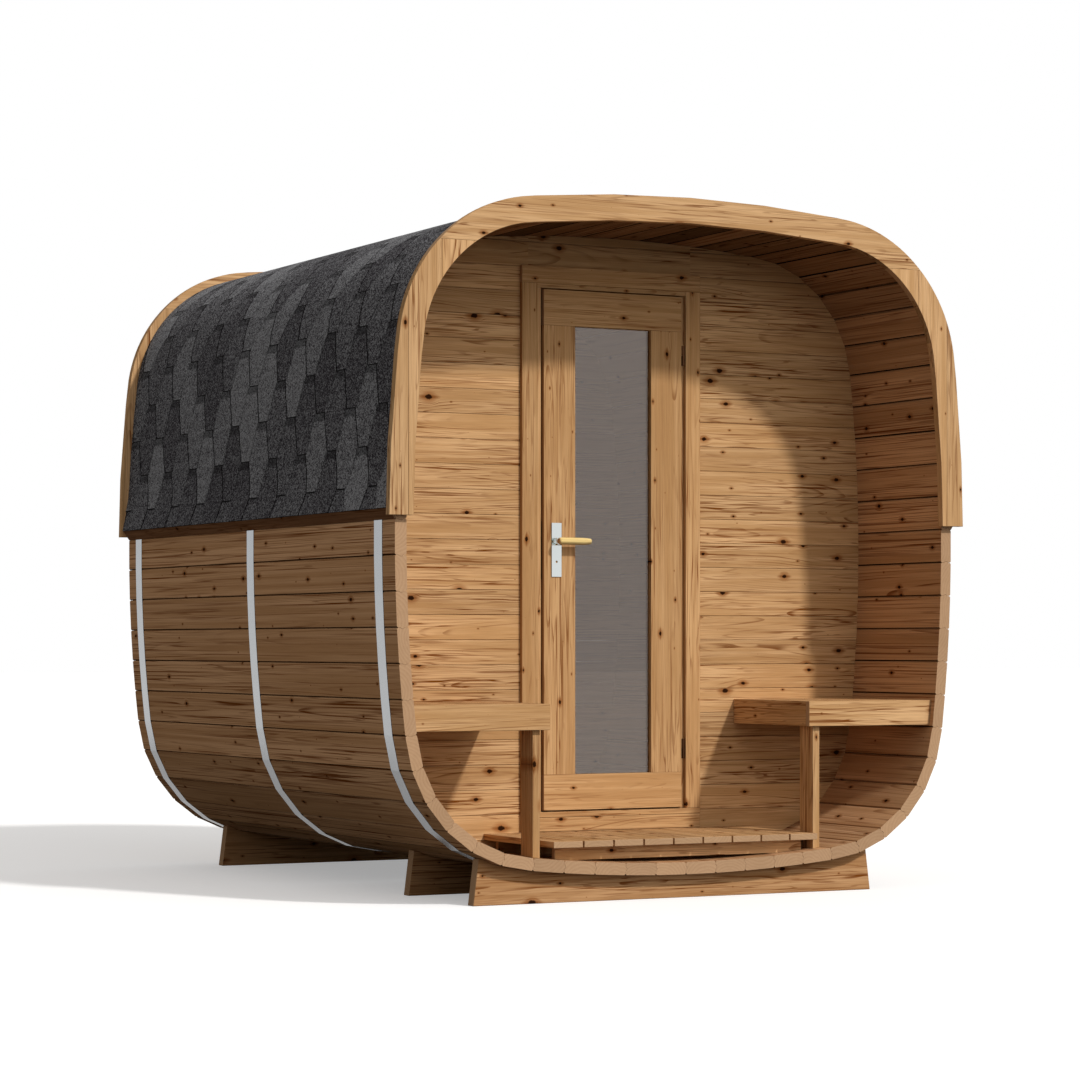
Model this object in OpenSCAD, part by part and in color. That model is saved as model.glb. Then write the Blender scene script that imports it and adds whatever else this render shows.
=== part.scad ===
// Cube sauna: a rounded-square shell of long staves on three cradles, with an open porch,
// a glazed door in a boarded front wall, slatted benches and a shingled upper half.
// Millimetres. X runs across the front, Y runs from the porch to the back, Z is up from the ground.
// The origin is on the ground, under the middle of the shell.

/* [Shell] */
// Width over the outside of the staves
shell_w = 2200; // [2000:10:2400]
// Height over the outside of the staves
shell_h = 2274; // [2100:2:2500]
// Length of the staves
shell_l = 2440; // [2300:10:3200]
// Height of the shell's underside above the ground
shell_lift = 83; // [70:1:120]
// Radius of the gentle curve of the sides, the floor and the top, on the outside
side_r = 5650; // [4500:50:9000]
// Radius of the four corners, on the outside
corner_r = 500; // [400:10:600]
// Thickness of a stave
stave_t = 42; // [36:1:50]
// Staves in each half of the ring, from the middle of the floor to the middle of the top
staves_half = 33; // [33:1:33]
// Width and depth of the bevel along each edge of a stave
stave_bevel = 3; // [1:0.5:5]
// Gap left where a board or a band lies against the staves
seat_gap = 0.1; // [0.05:0.05:0.5]

/* [Roof] */
// Height above the ground of the lower edge of the eave boards
eave_z = 1278; // [1200:1:1350]
// How far an eave board kicks the shingles out from the staves
eave_kick = 25; // [10:1:30]
// Height of the eave board's drip face
eave_drip = 35; // [20:1:50]
// Height of the whole eave board
eave_h = 170; // [120:5:220]
// Thickness of the shingle layer
shingle_t = 8; // [5:1:12]

/* [Fascia arches] */
// Thickness of a fascia board
fascia_t = 28; // [20:1:36]
// How far the fascia stands out past the staves
fascia_over = 35; // [34:1:50]
// How far the fascia laps in past the inside of the staves
fascia_lap = 11; // [5:1:20]
// Height above the ground of the fascia's lower ends
fascia_low = 1290; // [1280:1:1320]
// Height above the ground of the joint between the upright and the top fascia boards
fascia_joint = 2197; // [2100:1:2240]

/* [Walls and door frame] */
// Depth of the porch, from the end of the staves to the face of the front wall
porch_d = 530; // [450:10:700]
// Thickness of the front and rear walls
wall_t = 42; // [36:1:50]
// How far the rear wall sits in from the end of the staves
rear_inset = 50; // [30:5:100]
// Height above the ground of the top of the door sill
sill_z = 279; // [270:1:290]
// Width of the doorway between the rebates of the frame
rebate_w = 573; // [573:1:600]
// Height of the doorway from the sill to the rebate of the head
rebate_h = 1845; // [1800:1:1900]
// Width of a jamb beside the rebate, and height of the head above it
jamb_w = 44; // [35:1:60]
// How far the door stop reaches into the doorway past the rebate
stop_w = 24; // [15:1:30]
// Depth of the rebate, from the face of the wall to the stop
rebate_d = 23; // [22.5:0.5:26]
// Width of the casing boards on the face of the wall
casing_w = 61; // [50:1:80]
// Thickness of the casing boards
casing_t = 16; // [14:1:20]
// Width of the jamb that the casing leaves bare
casing_set = 16; // [12:1:25]
// How far the bare edge of the frame stands back from the face of the casing
lip_set = 2; // [1:1:4]
// Height of the sill strip below the casing
sill_h = 20; // [15:1:30]

/* [Door] */
// Width of the door leaf
leaf_w = 561; // [540:1:561]
// Height of the door leaf
leaf_h = 1835; // [1780:1:1835]
// Thickness of the door leaf
leaf_t = 40; // [36:1:40]
// How far the face of the leaf stands out from the face of the wall
leaf_proud = 23; // [22:0.5:23.5]
// Width of the stiles and rails
stile_w = 126; // [110:1:140]
// Thickness of the glass unit
glass_t = 14; // [6:1:20]
// Depth that the glass reaches into its groove
glass_lap = 10; // [6:1:14]
// Height above the ground of the lever
lever_z = 1232; // [1180:1:1260]
// Distance from the leaf's edge to the middle of the handle plate
backset = 49; // [45:1:63]
// Height of the handle plate
plate_h = 190; // [170:1:220]
// Width of the handle plate
plate_w = 39; // [34:1:44]
// Thickness of the handle plate
plate_t = 4; // [3:0.5:6]
// Length of the lever from its spindle to its tip
lever_l = 118; // [100:1:130]
// Diameter of the lever's wooden grip
grip_d = 25; // [18:1:28]
// Distance from the face of the leaf to the middle of the grip
grip_off = 42; // [36:1:50]
// Height of a hinge
hinge_h = 70; // [60:5:90]
// Diameter of a hinge knuckle
knuckle_d = 10; // [9:1:10]
// Diameter of a hinge pin
pin_d = 5; // [4:0.5:6]
// Running clearance of the spindle and of the hinge pins, on the radius
run_gap = 0.05; // [0.02:0.01:0.08]

/* [Porch] */
// Height above the ground of the bench seats
seat_z = 670; // [600:5:700]
// Distance from the middle to the inner end of a bench
bench_x = 514; // [480:1:560]
// How far the front of the benches sits in from the end of the staves
bench_in = 23; // [20:1:60]
// Height of the bench aprons
apron_h = 88; // [70:1:100]
// Thickness of a bench's front apron
apron_t = 21; // [18:1:30]
// Thickness of the other boards and of the posts of the benches
board_t = 28; // [20:1:30]
// Depth of a bench post
post_d = 84; // [60:1:90]
// Height above the ground of the deck
deck_z = 208; // [200:1:215]
// Thickness of the deck boards
deck_t = 22; // [20:1:28]
// Width of a deck board
deck_board_w = 111; // [100:1:115]
// Gap between deck boards
deck_gap = 6; // [5:1:10]
// How far the deck sits in from the end of the staves
deck_in = 13; // [5:1:40]
// How far the porch deck lies to the right of the middle
deck_shift = 18; // [0:1:18]
// Deck boards on the porch
porch_boards = 9; // [7:2:9]
// Thickness of a deck bearer
bearer_t = 21; // [18:1:30]
// Height of a deck bearer
bearer_h = 46; // [36:1:50]

/* [Inside benches] */
// Height above the ground of the upper seat
upper_z = 996; // [950:1:1050]
// Height above the ground of the lower seat
lower_z = 629; // [580:1:660]
// Depth of the upper bench
upper_d = 608; // [560:1:650]
// Depth of the lower bench's seat in front of the upper bench
lower_d = 390; // [350:1:450]

/* [Cradles and bands] */
// Half the length of a cradle, at the ground
cradle_half = 788; // [700:1:850]
// How much each end of a cradle leans in toward its top
cradle_flare = 20; // [0:1:40]
// Height of a cradle's ends
cradle_h = 156; // [140:1:170]
// Thickness of a cradle
cradle_t = 42; // [36:1:60]
// Distances from the front end of the staves to the front faces of the cradles
cradle_at = [52, 546, 2236];
// Width of a steel band
band_w = 62; // [40:1:70]
// Thickness of a steel band
band_t = 2; // [1:0.5:3]
// Distances from the front end of the staves to the middles of the bands
band_at = [126, 1210, 2330];

/* [Hidden] */
$fn = 64;

front_y = -shell_l / 2;
rear_y = shell_l / 2;
wall_y = front_y + porch_d;
wall_back_y = wall_y + wall_t;
rear_wall_y = rear_y - rear_inset - wall_t;
mid_z = shell_lift + shell_h / 2;
arc_step = 3;

// The outline's first quadrant: a side arc, a corner arc and a top arc that meet tangentially.
// Each is named by the direction of its normal, from 0 at the side to 90 at the top.
half_w = shell_w / 2;
half_h = shell_h / 2;
side_c = [half_w - side_r, 0];
top_c = [0, half_h - side_r];
between = top_c - side_c;
span = norm(between);
reach = sqrt(pow(side_r - corner_r, 2) - pow(span / 2, 2));
corner_c = (side_c + top_c) / 2 + [-between[1], between[0]] / span * reach;
side_end = atan2(corner_c[1], corner_c[0] - side_c[0]);
top_start = atan2(corner_c[1] - top_c[1], corner_c[0]);

// Lengths along the outline, from the middle of the floor
bottom_len = side_r * (90 - top_start) * PI / 180;
corner_len = corner_r * (top_start - side_end) * PI / 180;
side_len = side_r * side_end * PI / 180;
quarter_len = bottom_len + corner_len + side_len;
stave_pitch = 2 * quarter_len / staves_half;

// Point of the first quadrant whose normal points along angle a, moved out by off
function quadrant(a, off) =
    a <= side_end ? side_c + (side_r + off) * [cos(a), sin(a)] :
    a <= top_start ? corner_c + (corner_r + off) * [cos(a), sin(a)] :
    top_c + (side_r + off) * [cos(a), sin(a)];

// Point of the whole outline, in the plane of a cross-section, for a normal from -180 to 180
function outline(a, off) =
    let (m = abs(a) <= 90 ? abs(a) : 180 - abs(a))
    let (p = quadrant(m, off))
    [abs(a) <= 90 ? p[0] : -p[0], (a < 0 ? -p[1] : p[1]) + mid_z];

// Normal's angle at length s along the right half, from the middle of the floor (-90) to the top (90)
function angle_at(s) =
    s > quarter_len ? -angle_at(2 * quarter_len - s) :
    s <= bottom_len ? -90 + s / side_r * 180 / PI :
    s <= bottom_len + corner_len ? -top_start + (s - bottom_len) / corner_r * 180 / PI :
    -(quarter_len - s) / side_r * 180 / PI;

// Normal's angle at stave joint k of the right half; negative k is the left half
function joint_angle(k) = k >= 0 ? angle_at(k * stave_pitch) : -180 - angle_at(-k * stave_pitch);

// Point at depth off from the outside on joint k
function joint(k, off) =
    let (p = outline(angle_at(abs(k) * stave_pitch), off))
    [k >= 0 ? p[0] : -p[0], p[1]];

// Point a short way from joint k toward joint m, at depth off
function near_joint(k, m, off, d) =
    let (p = joint(k, off))
    let (v = joint(m, off) - p)
    p + v / norm(v) * d;

// One face of the staves from joint k0 to joint k1, with a bevelled groove at each joint
function stave_face(k0, k1, off, depth) = [
    for (k = [k0:k1])
        for (p = [
            if (k > k0) near_joint(k, k - 1, off, stave_bevel),
            joint(k, off + depth),
            if (k < k1) near_joint(k, k + 1, off, stave_bevel)
        ]) p
];

function reversed(list) = [for (i = [len(list) - 1:-1:0]) list[i]];

// Ring of joints k0 to k1 without bevels, at depth off
function joint_chain(k0, k1, off) = [for (k = [k0:k1]) joint(k, off)];

// Smooth stretch of the outline between two normals, at offset off
function arc_chain(a0, a1, off) = [for (a = [a0:arc_step:a1 - arc_step / 2]) outline(a, off), outline(a1, off)];

// Stands a cross-section up across the shell, from y0 toward the back for the given length
module across(y0, length) {
    translate([0, y0 + length, 0])
        rotate([90, 0, 0])
            linear_extrude(length)
                children();
}

// Inside of the shell as a cross-section: the flat inner faces of all the staves
module inside_section() {
    polygon(joint_chain(-staves_half, staves_half - 1, -stave_t - seat_gap));
}

// Outside of the shell as a cross-section
module outside_section() {
    polygon(joint_chain(-staves_half, staves_half - 1, seat_gap));
}

// Keeps what lies inside the shell
module fit_inside(y0, length) {
    intersection() {
        children();
        across(y0, length)
            inside_section();
    }
}

// Block from its lowest corner to its highest
module block(low, high) {
    translate(low)
        cube(high - low);
}

// Copies its children on the right, or mirrors them to the left
module on_side(side) {
    if (side > 0)
        children();
    else
        mirror([1, 0, 0])
            children();
}

// ---- shell ----

// Staves from joint k0 to joint k1, planed flat and seated edge to edge
module staves(k0, k1) {
    across(front_y, shell_l)
        polygon(concat(
            stave_face(k0, k1, 0, -stave_bevel),
            reversed(stave_face(k0, k1, -stave_t, stave_bevel))
        ));
}

floor_k = 5;
lower_k = 11;
upper_k = 22;
top_k = 28;

module floor_staves() {
    color("#9a6a42")
        staves(-floor_k, floor_k);
}

module lower_corner_staves(side) {
    color("#a57448")
        on_side(side)
            staves(floor_k, lower_k);
}

module wall_staves(side) {
    color("#ad7b4d")
        on_side(side)
            staves(lower_k, upper_k);
}

module upper_corner_staves(side) {
    color("#a57448")
        on_side(side)
            staves(upper_k, top_k);
}

// The two halves of the ceiling are mirror images that meet at the middle joint
module ceiling_staves() {
    color("#9a6a42")
        union() {
            staves(top_k, staves_half);
            mirror([1, 0, 0])
                staves(top_k, staves_half);
        }
}

// ---- roof ----

// Length along the right half of the outline at a height on the upper side
function side_angle_at(z) = asin((z - mid_z) / side_r);

eave_low_a = side_angle_at(eave_z);
eave_drip_a = side_angle_at(eave_z + eave_drip);
eave_high_a = side_angle_at(eave_z + eave_h);
eave_nose = outline(eave_drip_a, eave_kick);

// Joints of the upper right half that the roof covers, above the eave board
first_roof_k = ceil((quarter_len + side_r * eave_high_a * PI / 180) / stave_pitch);
first_eave_k = ceil((quarter_len + side_r * eave_low_a * PI / 180) / stave_pitch);

// Point at height z on the right side, a distance off from the staves' flat outer faces
function on_stave(z, off) =
    let (k = max([for (i = [lower_k:upper_k]) if (joint(i, off)[1] <= z) i]))
    let (p = joint(k, off))
    let (q = joint(k + 1, off))
    p + (q - p) * (z - p[1]) / (q[1] - p[1]);

function eave_profile() = concat(
    [on_stave(eave_z, seat_gap), eave_nose, on_stave(eave_z + eave_h, seat_gap)],
    reversed(joint_chain(first_eave_k, first_roof_k - 1, seat_gap))
);

// Right half of the shingle layer, from the drip edge to the middle of the top
function shingle_under() = concat(
    [eave_nose + [seat_gap, 0], on_stave(eave_z + eave_h, 2 * seat_gap)],
    joint_chain(first_roof_k, staves_half, seat_gap)
);

function shingle_over() = concat(
    [eave_nose + [shingle_t, -shingle_t / 2], outline(eave_high_a, shingle_t)],
    [for (a = [eave_high_a + arc_step:arc_step:90 - arc_step / 2]) outline(a, shingle_t)],
    [outline(90, shingle_t)]
);

module shingle_half() {
    across(front_y, shell_l)
        polygon(concat(shingle_over(), reversed(shingle_under())));
}

module shingle_roof() {
    color("#46464a")
        union() {
            shingle_half();
            mirror([1, 0, 0])
                shingle_half();
        }
}

module eave_board(side) {
    color("#5b3d28")
        on_side(side)
            across(front_y, shell_l)
                polygon(eave_profile());
}

// ---- fascia arches ----

fascia_out = fascia_over;
fascia_in = -stave_t - fascia_lap;

// Right half of the arch: a band between two smooth curves, cut level at the foot
module fascia_half() {
    difference() {
        polygon(concat(
            arc_chain(0, 90, fascia_out),
            reversed(arc_chain(0, 90, fascia_in))
        ));
        translate([0, fascia_low - half_h])
            square([half_w * 2, half_h]);
    }
}

// The part of the right half of an arch between two heights
module fascia_part(y0, z0, z1) {
    across(y0, fascia_t)
        intersection() {
            fascia_half();
            translate([0, z0])
                square([half_w * 2, z1 - z0]);
        }
}

module fascia_side(y0, side) {
    color("#c99a63")
        on_side(side)
            fascia_part(y0, fascia_low, fascia_joint);
}

module fascia_top(y0) {
    color("#c99a63")
        union() {
            fascia_part(y0, fascia_joint, mid_z + half_h * 2);
            mirror([1, 0, 0])
                fascia_part(y0, fascia_joint, mid_z + half_h * 2);
        }
}

// ---- walls ----

frame_half = rebate_w / 2 + jamb_w;
frame_low = sill_z - sill_h;
frame_top = sill_z + rebate_h + jamb_w;
plinth_gap = 1;
lip_clear = 1;

// The front wall between two upright lines and two levels
module front_wall_part(x0, x1, z0, z1) {
    color("#b98a58")
        fit_inside(wall_y, wall_t)
            block([x0, wall_y, z0], [x1, wall_back_y, z1]);
}

module rear_wall() {
    color("#b98a58")
        across(rear_wall_y, wall_t)
            inside_section();
}

// ---- door frame ----

casing_in = rebate_w / 2 + casing_set;
casing_out = casing_in + casing_w;
casing_head_z = sill_z + rebate_h + casing_set;
lip_y = wall_y - casing_t + lip_set;

// A jamb: a post in the wall with a rebate for the leaf and a stop behind it, and a lip inside the casing
module jamb(side, has_lip) {
    color("#a97a4c")
        on_side(side) {
            low = sill_z;
            high = sill_z + rebate_h;
            block([rebate_w / 2, wall_y, low], [frame_half, wall_back_y, high]);
            block([rebate_w / 2 - stop_w, wall_y + rebate_d, low], [rebate_w / 2, wall_back_y, high]);
            if (has_lip)
                block([rebate_w / 2 + lip_clear, lip_y, low], [casing_in, wall_y, high]);
        }
}

module door_head() {
    z = sill_z + rebate_h;
    color("#a97a4c")
        union() {
            block([-frame_half, wall_y, z], [frame_half, wall_back_y, frame_top]);
            block([-(rebate_w / 2 - stop_w), wall_y + rebate_d, z - stop_w],
                  [rebate_w / 2 - stop_w, wall_back_y, z]);
            block([-casing_in, lip_y, z], [casing_in, wall_y, casing_head_z]);
        }
}

module door_sill() {
    color("#a97a4c")
        block([-frame_half, wall_y, frame_low], [frame_half, wall_back_y, sill_z]);
}

// Casing: two legs that stand on the sill strip, a head across them, and a plinth board under the strip
module door_casing() {
    y0 = wall_y - casing_t;
    color("#c0905c")
        union() {
            block([-casing_out, lip_y, deck_z + plinth_gap], [casing_out, wall_y, frame_low]);
            block([-casing_out, y0, frame_low], [casing_out, wall_y, sill_z]);
            for (side = [-1, 1])
                on_side(side)
                    block([casing_in, y0, sill_z], [casing_out, wall_y, casing_head_z]);
            block([-casing_out, y0, casing_head_z], [casing_out, wall_y, casing_head_z + casing_w]);
        }
}

// ---- door leaf ----

leaf_y = wall_y - leaf_proud;
leaf_back_y = leaf_y + leaf_t;
leaf_z = sill_z + (rebate_h - leaf_h) / 2;
light_half = leaf_w / 2 - stile_w;
light_low = leaf_z + stile_w;
light_high = leaf_z + leaf_h - stile_w;
glass_y = leaf_y + (leaf_t - glass_t) / 2;
spindle_x = -leaf_w / 2 + backset;
spindle_d = 16;
spindle_hole_d = 22;
keyhole_drop = 72;
lock_t = 3;
lock_w = 16;
lock_h = 206;
lock_y = leaf_y + 14;
hinge_x = (leaf_w / 2 + casing_in) / 2;
hinge_y = wall_y - 18;
hinge_at = [leaf_z + 210, leaf_z + leaf_h - 210];
web_t = 3;
flap_t = 2.5;
flap_w = 22;
knuckle_gap = 0.5;

// The lock's plate, flush in the edge of the leaf
module lock_block() {
    block([-leaf_w / 2, lock_y, lever_z - 135], [-leaf_w / 2 + lock_t, lock_y + lock_w, lever_z - 135 + lock_h]);
}

// The hinge flap at height z, flush in the other edge of the leaf
module leaf_flap(z) {
    block([leaf_w / 2 - flap_t, hinge_y - web_t, z], [leaf_w / 2, hinge_y - web_t + flap_w, z + hinge_h / 2]);
}

// Leaf: stiles and rails round one light, grooved for the glass and bored for the spindle
module door_leaf() {
    color("#bd8e5a")
        difference() {
            block([-leaf_w / 2, leaf_y, leaf_z], [leaf_w / 2, leaf_back_y, leaf_z + leaf_h]);
            block([-light_half, leaf_y - 1, light_low], [light_half, leaf_back_y + 1, light_high]);
            block([-light_half - glass_lap, glass_y, light_low - glass_lap],
                  [light_half + glass_lap, glass_y + glass_t, light_high + glass_lap]);
            translate([spindle_x, leaf_y - 1, lever_z])
                rotate([-90, 0, 0])
                    cylinder(d = spindle_hole_d, h = leaf_t + 2);
            lock_block();
            for (z = hinge_at)
                leaf_flap(z);
        }
}

module door_glass() {
    color("#c8d6d8", 0.4)
        block([-light_half - glass_lap, glass_y, light_low - glass_lap],
              [light_half + glass_lap, glass_y + glass_t, light_high + glass_lap]);
}

// A handle plate on one face of the leaf, with the spindle's hole and a keyhole
module handle_plate(y0) {
    low = lever_z + 65 - plate_h;
    difference() {
        block([spindle_x - plate_w / 2, y0, low], [spindle_x + plate_w / 2, y0 + plate_t, low + plate_h]);
        translate([spindle_x, y0 - 1, lever_z])
            rotate([-90, 0, 0])
                cylinder(d = spindle_d + 2 * run_gap, h = plate_t + 2);
        translate([spindle_x, y0 - 1, lever_z - keyhole_drop])
            rotate([-90, 0, 0])
                cylinder(d = 8, h = plate_t + 2);
    }
}

// Outer and inner handle plates
module handle_plates() {
    color("#d5d9da") {
        handle_plate(leaf_y - plate_t);
        handle_plate(leaf_back_y);
    }
}

module lock_plate() {
    color("#d5d9da")
        lock_block();
}

// Steel spindle through the leaf, standing out to the grips on both faces
module lever_spindle() {
    color("#d5d9da")
        translate([spindle_x, leaf_y - grip_off, lever_z])
            rotate([-90, 0, 0])
                cylinder(d = spindle_d, h = leaf_t + 2 * grip_off);
}

// A wooden grip on each face, bored for the end of the spindle
module lever_grips() {
    tail = grip_d / 2;
    color("#d9b979")
        for (y = [leaf_y - grip_off, leaf_back_y + grip_off])
            difference() {
                translate([spindle_x - tail, y, lever_z])
                    rotate([0, 90, 0])
                        cylinder(d = grip_d, h = lever_l + tail);
                translate([spindle_x, leaf_y - grip_off, lever_z])
                    rotate([-90, 0, 0])
                        cylinder(d = spindle_d + 2 * run_gap, h = leaf_t + 2 * grip_off);
            }
}

// Fixed half of each hinge: the lower knuckle with its pin, on a web from a flap on the jamb
module frame_hinges() {
    color("#8d8f92")
        for (z = hinge_at) {
            translate([hinge_x, hinge_y, z - hinge_h / 2])
                cylinder(d = knuckle_d, h = hinge_h / 2);
            translate([hinge_x, hinge_y, z - 1])
                cylinder(d = pin_d, h = hinge_h / 2);
            block([hinge_x - web_t / 2, hinge_y, z - hinge_h / 2], [hinge_x + web_t / 2, wall_y, z]);
            block([rebate_w / 2, wall_y - flap_t, z - hinge_h / 2], [casing_in, wall_y, z]);
        }
}

// Moving half of each hinge: the upper knuckle, bored for the pin, on a web from the leaf's edge
module leaf_hinges() {
    low = knuckle_gap;
    color("#8d8f92")
        for (z = hinge_at) {
            difference() {
                union() {
                    translate([hinge_x, hinge_y, z + low])
                        cylinder(d = knuckle_d, h = hinge_h / 2 - low);
                    block([leaf_w / 2 - flap_t, hinge_y - web_t / 2, z + low],
                          [hinge_x, hinge_y + web_t / 2, z + hinge_h / 2]);
                }
                translate([hinge_x, hinge_y, z - 1])
                    cylinder(d = pin_d + 2 * run_gap, h = hinge_h + 2);
            }
            leaf_flap(z);
        }
}

// ---- bands and cradles ----

// The part of a band on the right half, from the middle of the floor to the eave board
function band_half(off) = concat(joint_chain(0, first_eave_k - 1, off), [on_stave(eave_z - seat_gap, off)]);

module band(y) {
    half = concat(band_half(seat_gap + band_t), reversed(band_half(seat_gap)));
    color("#cfd6d8")
        union() {
            across(front_y + y - band_w / 2, band_w)
                polygon(half);
            mirror([1, 0, 0])
                across(front_y + y - band_w / 2, band_w)
                    polygon(half);
        }
}

// Cradle: a plank with flared ends, hollowed on top to the curve of the shell
module cradle(y) {
    end_x = cradle_half - cradle_flare;
    color("#9c6d44")
        across(front_y + y, cradle_t)
            difference() {
                polygon([[-cradle_half, 0], [cradle_half, 0], [end_x, cradle_h], [-end_x, cradle_h]]);
                outside_section();
            }
}

// ---- porch ----

bench_front_y = front_y + bench_in;
apron_y = bench_front_y + apron_t;
post_x = bench_x + board_t;
slat_gap = 5;
least_board = 20;

// Bench: a front apron, a side apron and seat boards that run to the wall
module bench(side) {
    seat_w = half_w - stave_t - post_x;
    pitch = deck_board_w + slat_gap;
    boards = ceil((seat_w - least_board) / pitch);
    color("#b98a58")
        on_side(side)
            fit_inside(bench_front_y, wall_y - bench_front_y) {
                union() {
                    block([bench_x, bench_front_y, seat_z - apron_h], [half_w, apron_y, seat_z]);
                    block([bench_x, apron_y, seat_z - apron_h], [post_x, wall_y, seat_z]);
                    for (i = [0:boards - 1])
                        block([post_x + i * pitch, apron_y, seat_z - board_t],
                              [min(post_x + i * pitch + deck_board_w, half_w), wall_y, seat_z]);
                }
            }
}

module bench_post(side) {
    color("#a97a4c")
        on_side(side)
            fit_inside(front_y, porch_d)
                block([post_x, apron_y, 0], [post_x + board_t, apron_y + post_d, seat_z - board_t]);
}

// Duckboard of equal boards along Y on bearers across them, with its middle at mid_x
module duckboard(mid_x, y0, y1, count, bearers_y, bearer_half) {
    pitch = deck_board_w + deck_gap;
    low_x = mid_x - (count * pitch - deck_gap) / 2;
    for (i = [0:count - 1])
        block([low_x + i * pitch, y0, deck_z - deck_t],
              [low_x + i * pitch + deck_board_w, y1, deck_z]);
    for (y = bearers_y)
        fit_inside(y, bearer_t)
            block([mid_x - bearer_half, y, deck_z - deck_t - bearer_h],
                  [mid_x + bearer_half, y + bearer_t, deck_z - deck_t]);
}

module porch_deck() {
    color("#b98a58")
        duckboard(deck_shift, front_y + deck_in, wall_y, porch_boards,
                  [for (y = [68, 260, 482]) front_y + y], 491);
}

module room_floor() {
    y0 = wall_back_y;
    color("#b98a58")
        duckboard(0, y0, rear_wall_y, 11, [for (y = [60:400:1700]) y0 + y], 620);
}

// ---- inside benches ----

// Bench across the room: seat boards along X and a front apron, ends on the walls
module room_bench(y0, y1, z, boards) {
    gap = 8;
    board_w = (y1 - y0 - board_t - gap * boards) / boards;
    fit_inside(wall_back_y, rear_wall_y - wall_back_y) {
        union() {
            block([-half_w, y0, z - apron_h], [half_w, y0 + board_t, z]);
            for (i = [0:boards - 1])
                block([-half_w, y0 + board_t + gap + i * (board_w + gap), z - board_t],
                      [half_w, y0 + board_t + gap + i * (board_w + gap) + board_w, z]);
            for (x = [-600, 0, 600])
                block([x - board_t / 2, y0 + board_t, z - apron_h], [x + board_t / 2, y1, z - board_t]);
        }
    }
}

upper_y = rear_wall_y - upper_d;

module upper_bench() {
    color("#c39a6a")
        room_bench(upper_y, rear_wall_y, upper_z, 5);
}

module lower_bench() {
    color("#c39a6a")
        room_bench(upper_y - lower_d, upper_y, lower_z, 3);
}

floor_staves();
lower_corner_staves(-1);  // left_lower_corner_staves
lower_corner_staves(1);  // right_lower_corner_staves
wall_staves(-1);  // left_wall_staves
wall_staves(1);  // right_wall_staves
upper_corner_staves(-1);  // left_upper_corner_staves
upper_corner_staves(1);  // right_upper_corner_staves
ceiling_staves();
shingle_roof();
eave_board(-1);  // left_eave_board
eave_board(1);  // right_eave_board
fascia_side(front_y - fascia_t, -1);  // front_fascia_left
fascia_side(front_y - fascia_t, 1);  // front_fascia_right
fascia_top(front_y - fascia_t);  // front_fascia_top
fascia_side(rear_y, -1);  // rear_fascia_left
fascia_side(rear_y, 1);  // rear_fascia_right
fascia_top(rear_y);  // rear_fascia_top
front_wall_part(-half_w, -frame_half, 0, shell_h * 2);  // front_wall_left
front_wall_part(frame_half, half_w, 0, shell_h * 2);  // front_wall_right
front_wall_part(-frame_half, frame_half, frame_top, shell_h * 2);  // front_wall_over_door
front_wall_part(-frame_half, frame_half, 0, frame_low);  // front_wall_under_door
rear_wall();
jamb(-1, true);  // left_jamb
jamb(1, false);  // right_jamb
door_head();
door_sill();
door_casing();
band(band_at[0]);  // front_band
band(band_at[1]);  // middle_band
band(band_at[2]);  // rear_band
cradle(cradle_at[0]);  // front_cradle
cradle(cradle_at[1]);  // middle_cradle
cradle(cradle_at[2]);  // rear_cradle
bench(-1);  // left_bench
bench(1);  // right_bench
bench_post(-1);  // left_bench_post
bench_post(1);  // right_bench_post
porch_deck();
room_floor();
upper_bench();
lower_bench();
frame_hinges();
leaf_hinges();
door_leaf();
door_glass();
handle_plates();
lock_plate();
lever_spindle();
lever_grips();
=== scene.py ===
"""Looks of the cube sauna: staves, boards, shingles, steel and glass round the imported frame.

Metres. X runs across the front, Y from the porch to the back, Z up from the ground.
"""
import logging
import math
import random
from collections.abc import Callable, Iterator, Sequence
from contextlib import contextmanager
from dataclasses import dataclass, field
from enum import Enum
from functools import cached_property

import bmesh
import bpy
import numpy as np
from mathutils import Matrix, Vector


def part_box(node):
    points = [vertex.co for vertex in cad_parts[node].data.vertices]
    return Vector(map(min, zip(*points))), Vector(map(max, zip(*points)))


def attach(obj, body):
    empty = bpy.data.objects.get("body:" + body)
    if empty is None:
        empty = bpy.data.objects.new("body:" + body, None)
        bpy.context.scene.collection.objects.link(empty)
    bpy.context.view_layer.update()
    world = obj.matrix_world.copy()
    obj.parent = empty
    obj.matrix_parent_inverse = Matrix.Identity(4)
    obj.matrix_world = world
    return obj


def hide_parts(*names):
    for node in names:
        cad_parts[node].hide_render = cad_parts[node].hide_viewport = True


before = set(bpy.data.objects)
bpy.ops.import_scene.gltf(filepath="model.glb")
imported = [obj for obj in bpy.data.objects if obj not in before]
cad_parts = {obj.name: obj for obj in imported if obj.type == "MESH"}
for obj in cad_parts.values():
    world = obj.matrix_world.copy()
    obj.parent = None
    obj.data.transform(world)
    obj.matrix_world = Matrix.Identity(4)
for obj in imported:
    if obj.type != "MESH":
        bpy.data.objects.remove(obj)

logging.basicConfig(level=logging.INFO, format="%(message)s")
log = logging.getLogger("sauna")

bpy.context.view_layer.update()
FIRST_SEED = 11               # the sub-assemblies count on from it
MM = 0.001
TOUCH = 0.01 * MM             # points nearer than this are one point
NEAR = 0.1 * MM               # points nearer than this to a line or plane lie on it
FLAT = math.radians(0.5)      # faces that meet at less than this are one face
SHARP = math.radians(40)      # edges that turn by more than this are eased
ROUND = math.radians(35)      # turned faces that meet at less than this look round
X = Vector((1.0, 0.0, 0.0))
Y = Vector((0.0, 1.0, 0.0))
Z = Vector((0.0, 0.0, 1.0))
Material = bpy.types.Material
Colour = tuple[float, float, float, float]
WHITE = (1.0, 1.0, 1.0, 1.0)


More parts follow.
